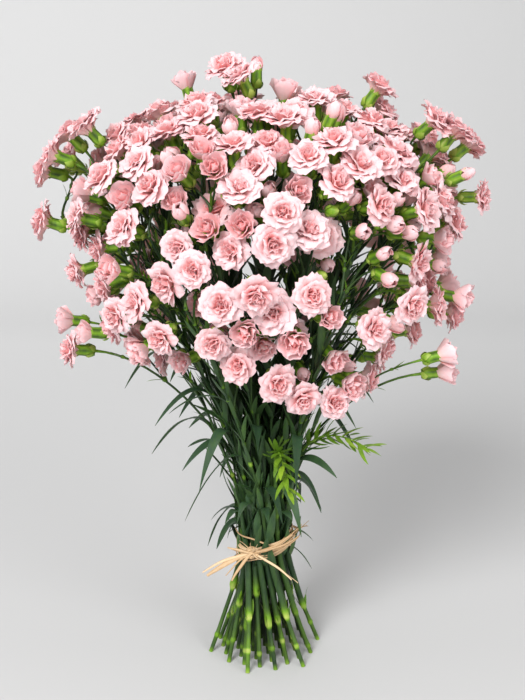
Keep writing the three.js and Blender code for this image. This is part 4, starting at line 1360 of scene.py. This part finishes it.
def petal_material(colours):
    """Pale at the ruffled rim, palest on the crests of its waves as a painted highlight, pink in the body
    and coral in the heart and in the folds, the folds' coral partly the petal's own streaks and partly
    painted crease shade, with faint mottling and fine grain."""
    shader = Shader("soft_pink_petal")
    edge, fold, inner, tone = shader.shares()
    mottle = shader.noise(420.0, 2.0)
    depth = (tone * 0.75 + mottle * 0.35).held()
    body = shader.mix(depth, colours.petal_pale, colours.petal_body)
    # Painted highlight: the pale rim is strongest on the crests of the ruffles
    rim = (edge**2.2 * (0.35 + fold * 0.65)).held()
    lit = shader.mix(rim, body, colours.petal_rim)
    # Coral in the troughs of the ruffles: partly the petal's own streaks and partly painted crease shade
    heart = ((1 - edge) * 1.15 * (0.25 + inner * 0.75) + (1 - fold) * inner * 0.45).held()
    coral = shader.mix(heart, lit, colours.petal_heart)
    throat = ((1 - edge) ** 6 * 0.8).held()
    colour = shader.mix(throat, coral, colours.petal_throat)
    grain = shader.noise(1500.0, 3.0)
    return shader.finish(
        Base_Color=colour,
        Roughness=0.62,
        Subsurface_Weight=0.3,
        Subsurface_Radius=(1.0, 0.5, 0.45),
        Subsurface_Scale=0.003,
        Specular_IOR_Level=0.25,
        Normal=shader.bump(grain, 0.25, 0.0002),
    )


def green_material(name, colours, roughness):
    """Green from dark through middle to light by the first share, varied by the tone and by mottling.
    Leaves have a pale waxy bloom, stems have it in patches, and all is darker deep in the bunch as painted
    shade."""
    dark, middle, light, wax = colours
    shader = Shader(name)
    tint, outward_for_painted_shade, along, tone = shader.shares()
    streak = shader.noise(260.0, 3.0, shader.place((1, 1, 0.25)))
    strays = (streak - 0.5) * 0.7 + (tone - 0.5) * 0.36
    shade = (tint + strays * (tint * 0.6 + 0.3)).held()
    low = shader.mix((shade * 2).held(), dark, middle)
    green = shader.mix((shade * 2 - 1).held(), low, light)
    patches = (shader.noise(90.0, 3.0) * 1.6 - 0.3).held() * tone + (along * 9).held() * 0.5
    waxy = shader.mix((patches * 0.75).held() * (1 - shade * 2.4).held(), green, wax)
    # Painted shade: the colour darkens towards a quarter of the dark green deep in the bunch
    colour = shader.mix((outward_for_painted_shade**1.6 * 0.86 + 0.14).held(), [0.25 * share for share in dark], waxy)
    fine = shader.noise(900.0, 2.0, shader.place((1, 1, 0.15)))
    return shader.finish(
        Base_Color=colour,
        Roughness=roughness + (fine - 0.5) * 0.16,
        Specular_IOR_Level=0.25,
        Subsurface_Weight=0.06,
        Subsurface_Radius=(0.4, 0.8, 0.2),
        Subsurface_Scale=0.002,
        Normal=shader.bump(fine, 0.3, 0.0003),
    )


def raffia_material(colours):
    """Dry straw: fine fibres along each strand, some paler and some browner, and browner towards each
    strand's edges as painted shade.
    """
    shader = Shader("dry_raffia")
    across, strand, along, tone = shader.shares()
    inputs = {"X": across * 3 + strand * 40, "Y": along * 0.05, "Z": tone}
    where = shader.add("ShaderNodeCombineXYZ", None, inputs)
    fibre = shader.noise(2.6, 4.0, where)
    # across * across: painted shade, browner towards each strand's edges
    share = (fibre * 1.2 + 0.05 + (tone - 0.5) * 0.6 - across * across * 0.45).held()
    colour = shader.mix(share, colours.raffia_brown, colours.raffia_pale)
    return shader.finish(Base_Color=colour, Roughness=0.72, Normal=shader.bump(fibre, 0.6, 0.0004))


def paper_material(floor, wall):
    """Plain matt paper with a painted light falloff: darker on the floor, paler up the wall, and paler at the
    left, towards the key lamp.
    """
    shader = Shader("pale_paper")
    across, back, _ = shader.parts(shader.place())
    # Painted light falloff: the share grows from the floor to the wall and towards the left
    share = (back * 0.75).held() * (0.8 - across * 0.25).held()
    colour = shader.mix(share, floor, wall)
    return shader.finish(Base_Color=colour, Roughness=0.85, Specular_IOR_Level=0.2)


def colour_property(name, description, default):
    return FloatVectorProperty(
        name=name, description=description, subtype="COLOR", size=3, min=0, max=1, default=default
    )


def number_property(name, description, default, **kind):
    return FloatProperty(name=name, description=description, default=default, **kind)


class FlowerSizes(bpy.types.PropertyGroup):
    """Sizes of the finer pieces."""

    thickness: number_property("Petal thickness", "Thickness of a petal", 0.00035, unit="LENGTH")
    ruffle: number_property("Ruffle", "How strongly the petals' edges wave", 1.0, subtype="FACTOR")


class FlowerColours(bpy.types.PropertyGroup):
    """Colours of the flowers, the greenery and the raffia."""

    petal_pale: colour_property("Pale petal", "Body of the palest blooms", (0.94, 0.63, 0.65))
    petal_body: colour_property("Petal", "Body of the deepest blooms", (0.94, 0.5, 0.51))
    # The rim colour also serves as painted highlight on crests, and the heart colour in the folds partly as
    # painted crease shade
    petal_rim: colour_property("Petal rim", "Ruffled rim of a petal", (0.93, 0.65, 0.68))
    petal_heart: colour_property("Petal heart", "Heart and folds of a bloom", (0.93, 0.37, 0.36))
    petal_throat: colour_property("Petal throat", "Claw of a petal, deep in the bloom", (0.75, 0.62, 0.25))
    stem_dark: colour_property("Stem", "Stems and stalks", (0.01, 0.028, 0.009))
    calyx_green: colour_property("Calyx", "Calyxes and green buds", (0.16, 0.32, 0.018))
    joint_green: colour_property("Joint", "Swollen joints and bud tips", (0.42, 0.5, 0.11))
    leaf_wax: colour_property("Wax", "Waxy bloom on leaves and stems", (0.05, 0.105, 0.055))
    filler_dark: colour_property("Filler stem", "Stem of a filler shoot", (0.03, 0.07, 0.018))
    filler_green: colour_property("Filler leaf", "Leaflets of a filler shoot", (0.12, 0.24, 0.016))
    filler_light: colour_property("Filler tip", "Young leaflets", (0.3, 0.46, 0.035))
    raffia_pale: colour_property("Raffia", "Pale fibres", (0.8, 0.6, 0.38))
    # The shade colour is used for browner fibres and for the painted shade at each strand's edges
    raffia_brown: colour_property("Raffia shade", "Browner fibres", (0.42, 0.24, 0.1))
    # The floor is darker than the wall as painted shade of the light's falloff over the sheet
    floor: colour_property("Floor", "Floor under the bunch", (0.6, 0.6, 0.6))
    wall: colour_property("Wall", "Backdrop behind the bunch", (0.84, 0.84, 0.84))


class StudioSizes(bpy.types.PropertyGroup):
    """The camera of the photograph."""

    camera_distance: number_property("Distance", "From the bunch's axis to the camera", 0.992, unit="LENGTH")
    camera_height: number_property("Height", "Height of the camera", 0.557, unit="LENGTH")
    camera_aside: number_property("Aside", "How far left of the axis the camera is", 0.0024, unit="LENGTH")
    camera_pitch: number_property("Pitch", "How far down the camera looks", 0.24, subtype="ANGLE")
    camera_lens: number_property("Lens", "Focal length in millimetres", 54.5)


def petal_templates(petals):
    """Blooms of each stage, to be copied to their heads."""
    return {
        "open": [bloom(WIDE_LAYERS if i % 2 else OPEN_LAYERS, 10 + i, petals) for i in range(OPEN_KINDS)],
        "half": [bloom(HALF_LAYERS, 40 + i, petals) for i in range(HALF_KINDS)],
        "pink_bud": [bloom(BUD_LAYERS, 70 + i, petals) for i in range(BUD_KINDS)],
    }


def head_axes(head):
    """The head's own axes, turned about its way by a drawn angle."""
    u, v, w = axes_along(head["facing"])
    aside = aside_at(u, v, 2 * math.pi * draw(head["k"], 40))
    return np.stack([aside, np.cross(w, aside), w])


_plans = []


def bunch_plans():
    """The plans, worked out once."""
    if not _plans:
        _plans.extend(lay_out())
    return _plans


def sprays():
    """The plan and the solid's name of each flowering stem."""
    return [(plan, f"spray_{plan['index']:02d}") for plan in bunch_plans() if not plan["filler"]]


def shaded(whole):
    """A form with its second share replaced by how far out in the bunch each point lies: its distance
    from the axis against that of the outermost stems at its height. The green material paints shade by this
    share, darker deeper in."""
    points, quads, triangles, look = whole
    look = look.copy()
    outermost = PAINTED_SHADE_REACH * np.hypot(1, opening(points[:, 2]))
    look[:, 1] = np.clip(np.hypot(points[:, 0], points[:, 1]) / outermost, 0, 1)
    return points, quads, triangles, look


def petals_of(plan, templates):
    """The petals of a spray: a bloom of the stage for each head, scaled to its radius."""
    forms = []
    for head in plan["heads"]:
        stage = head["stage"]
        if stage is GREEN_BUD:
            continue
        kinds = templates[stage[0]]
        chosen = kinds[int(draw(head["k"], 41) * len(kinds))]
        axes = head_axes(head)
        mouth = head["base"] + (CALYX_LENGTH - (1 if stage is PINK_BUD else 0)) * axes[2]
        widened = OPEN_WIDENED if stage is OPEN else OTHERS_WIDENED
        scale = widened * head["radius"] / stage[1]
        forms.append(seated(chosen, scale * axes, mouth, draw(head["k"], 42)))
    return joined(forms)


def greens_of(plan):
    """The green of a spray. Stems and leaves get painted shade that darkens them towards the middle of
    the bunch, and calyxes and buds get none."""
    plain = [stem_body(plan), *stem_leaves(plan), *joint_stubs(plan)]
    if is_outer(plan):
        plain += tied_leaves(plan)
    for controls, width, seed in plan["leaves"]:
        plain.append(long_leaf(controls, width, seed))
    buds = []
    for head in plan["heads"]:
        plain += stalk(plan, head)
        axes = head_axes(head)
        tone = draw(head["k"], 43)
        if head["stage"] is GREEN_BUD:
            buds.append(seated(green_bud(), head["radius"] / GREEN_BUD[1] * axes, head["base"], tone))
        else:
            opened = 1.0 if head["stage"] is OPEN else 0.3
            buds.append(seated(joined([calyx(opened), bracts(4.3)]), axes, head["base"], tone))
    lit = joined(buds)
    # Calyxes and buds are kept out of the painted shade
    lit[3][:, 1] = 1
    return joined([shaded(joined(plain)), lit])


class FLOWERS_OT_petals(bpy.types.Operator):
    """Petals of every open bloom, half-open bloom and pink bud, one piece a spray"""

    bl_idname = "flowers.petals"
    bl_label = "Petals"

    def execute(self, context):
        scene = context.scene
        material = petal_material(scene.flower_colours)
        templates = petal_templates(scene.flower_sizes)
        for plan, name in sprays():
            make_piece(name + "_petals", petals_of(plan, templates), material, name)
        return {"FINISHED"}


class FLOWERS_OT_greenery(bpy.types.Operator):
    """Stems, stalks, calyxes, green buds and leaves, one piece a spray"""

    bl_idname = "flowers.greenery"
    bl_label = "Greenery"

    def execute(self, context):
        colours = context.scene.flower_colours
        greens = (colours.stem_dark, colours.calyx_green, colours.joint_green, colours.leaf_wax)
        material = green_material("waxy_green", greens, 0.42)
        for plan, name in sprays():
            make_piece(name + "_green", greens_of(plan), material, name)
        return {"FINISHED"}


class FLOWERS_OT_fillers(bpy.types.Operator):
    """The two bright filler shoots with their leaflets"""

    bl_idname = "flowers.fillers"
    bl_label = "Filler shoots"

    def execute(self, context):
        colours = context.scene.flower_colours
        greens = (colours.filler_dark, colours.filler_green, colours.filler_light, colours.filler_green)
        material = green_material("fresh_filler_green", greens, 0.5)
        for plan in bunch_plans():
            if plan["filler"]:
                name = f"filler_shoot_{plan['index']:02d}"
                # The filler shoot gets the same painted shade deep in the bunch
                whole = shaded(joined([stem_body(plan), *filler_form(plan)]))
                make_piece(name + "_leaves", whole, material, name)
        return {"FINISHED"}


class FLOWERS_OT_raffia(bpy.types.Operator):
    """The raffia: its turns round the stems, the knot and the loose ends"""

    bl_idname = "flowers.raffia"
    bl_label = "Raffia tie"

    def execute(self, context):
        material = raffia_material(context.scene.flower_colours)
        make_piece("raffia_strands", joined(raffia_forms()), material, "raffia_tie")
        return {"FINISHED"}


def soft_light(name, place, size, power):
    """A round lamp that faces the middle of the bunch."""
    lamp = bpy.data.lights.new(name, "AREA")
    lamp.shape = "DISK"
    lamp.size = size
    lamp.energy = power
    light = placed(name, lamp)
    light.location = place
    way = MIDDLE - np.array(place)
    tilt = math.acos(-way[2] / np.linalg.norm(way))
    light.rotation_euler = (tilt, 0, math.atan2(way[1], way[0]) - math.pi / 2)


def backdrop_grid():
    """One seamless sheet: flat floor, then a quarter circle up into a wall."""
    bend = np.linspace(0, math.pi / 2, 16)
    radius, back = 1.0, 1.6
    y = np.concatenate([[-3.0, 0.0], back + radius * np.sin(bend), [back + radius]])
    z = np.concatenate([[0.0, 0.0], radius * (1 - np.cos(bend)), [5.0]])
    x = np.array([-5.0, 5.0])
    return np.stack(np.broadcast_arrays(x[None, :], y[:, None], z[:, None]), axis=-1)


def set_backdrop(scene):
    """The sheet behind and under the bunch, in its paper."""
    grid = backdrop_grid()
    index = np.arange(2 * len(grid)).reshape(-1, 2)
    quads = np.stack([index[:-1, 0], index[:-1, 1], index[1:, 1], index[1:, 0]], axis=-1)
    mesh = bpy.data.meshes.new("backdrop")
    mesh.from_pydata(grid.reshape(-1, 3).tolist(), [], quads.tolist())
    mesh.shade_smooth()
    mesh.materials.append(paper_material(scene.flower_colours.floor, scene.flower_colours.wall))
    placed("backdrop", mesh)


def set_light(scene):
    """Even light from all round, and the lamps."""
    world = bpy.data.worlds.new("studio")
    world.use_nodes = True
    world.node_tree.nodes["Background"].inputs["Color"].default_value = (1, 1, 1, 1)
    world.node_tree.nodes["Background"].inputs["Strength"].default_value = WORLD_STRENGTH
    scene.world = world
    scene.view_settings.view_transform = "Standard"
    for name, place, size, power in LAMPS:
        soft_light(name, place, size, power)


def set_camera(scene):
    """A camera in front of the bunch that looks slightly down."""
    size = scene.studio_sizes
    camera = placed("camera", bpy.data.cameras.new("camera"))
    camera.data.lens = size.camera_lens
    camera.data.sensor_width = SENSOR_WIDTH
    camera.location = (-size.camera_aside, -size.camera_distance, size.camera_height)
    camera.rotation_euler = (math.pi / 2 - size.camera_pitch, 0, 0)
    scene.camera = camera


class FLOWERS_OT_studio(bpy.types.Operator):
    """Floor and backdrop, soft lights and the camera of the photograph"""

    bl_idname = "flowers.studio"
    bl_label = "Studio"

    def execute(self, context):
        for set_part in (set_backdrop, set_light, set_camera):
            set_part(context.scene)
        return {"FINISHED"}


STEPS = ("petals", "greenery", "fillers", "raffia", "studio")


class FLOWERS_PT_bunch(bpy.types.Panel):
    """Lists the steps that build the bunch"""

    bl_label = "Bunch of carnations"
    bl_idname = "FLOWERS_PT_bunch"
    bl_space_type = "VIEW_3D"
    bl_region_type = "UI"
    bl_category = "Carnations"

    def draw(self, context):
        for step in STEPS:
            self.layout.operator("flowers." + step)


CLASSES = (
    FlowerSizes,
    FlowerColours,
    StudioSizes,
    FLOWERS_OT_petals,
    FLOWERS_OT_greenery,
    FLOWERS_OT_fillers,
    FLOWERS_OT_raffia,
    FLOWERS_OT_studio,
    FLOWERS_PT_bunch,
)


def register():
    for kind in CLASSES:
        bpy.utils.register_class(kind)
    bpy.types.Scene.flower_sizes = PointerProperty(type=FlowerSizes)
    bpy.types.Scene.flower_colours = PointerProperty(type=FlowerColours)
    bpy.types.Scene.studio_sizes = PointerProperty(type=StudioSizes)


def unregister():
    for name in ("flower_sizes", "flower_colours", "studio_sizes"):
        delattr(bpy.types.Scene, name)
    for kind in reversed(CLASSES):
        bpy.utils.unregister_class(kind)


def main():
    register()
    for step in STEPS:
        getattr(bpy.ops.flowers, step)()


if __name__ == "__main__":
    main()
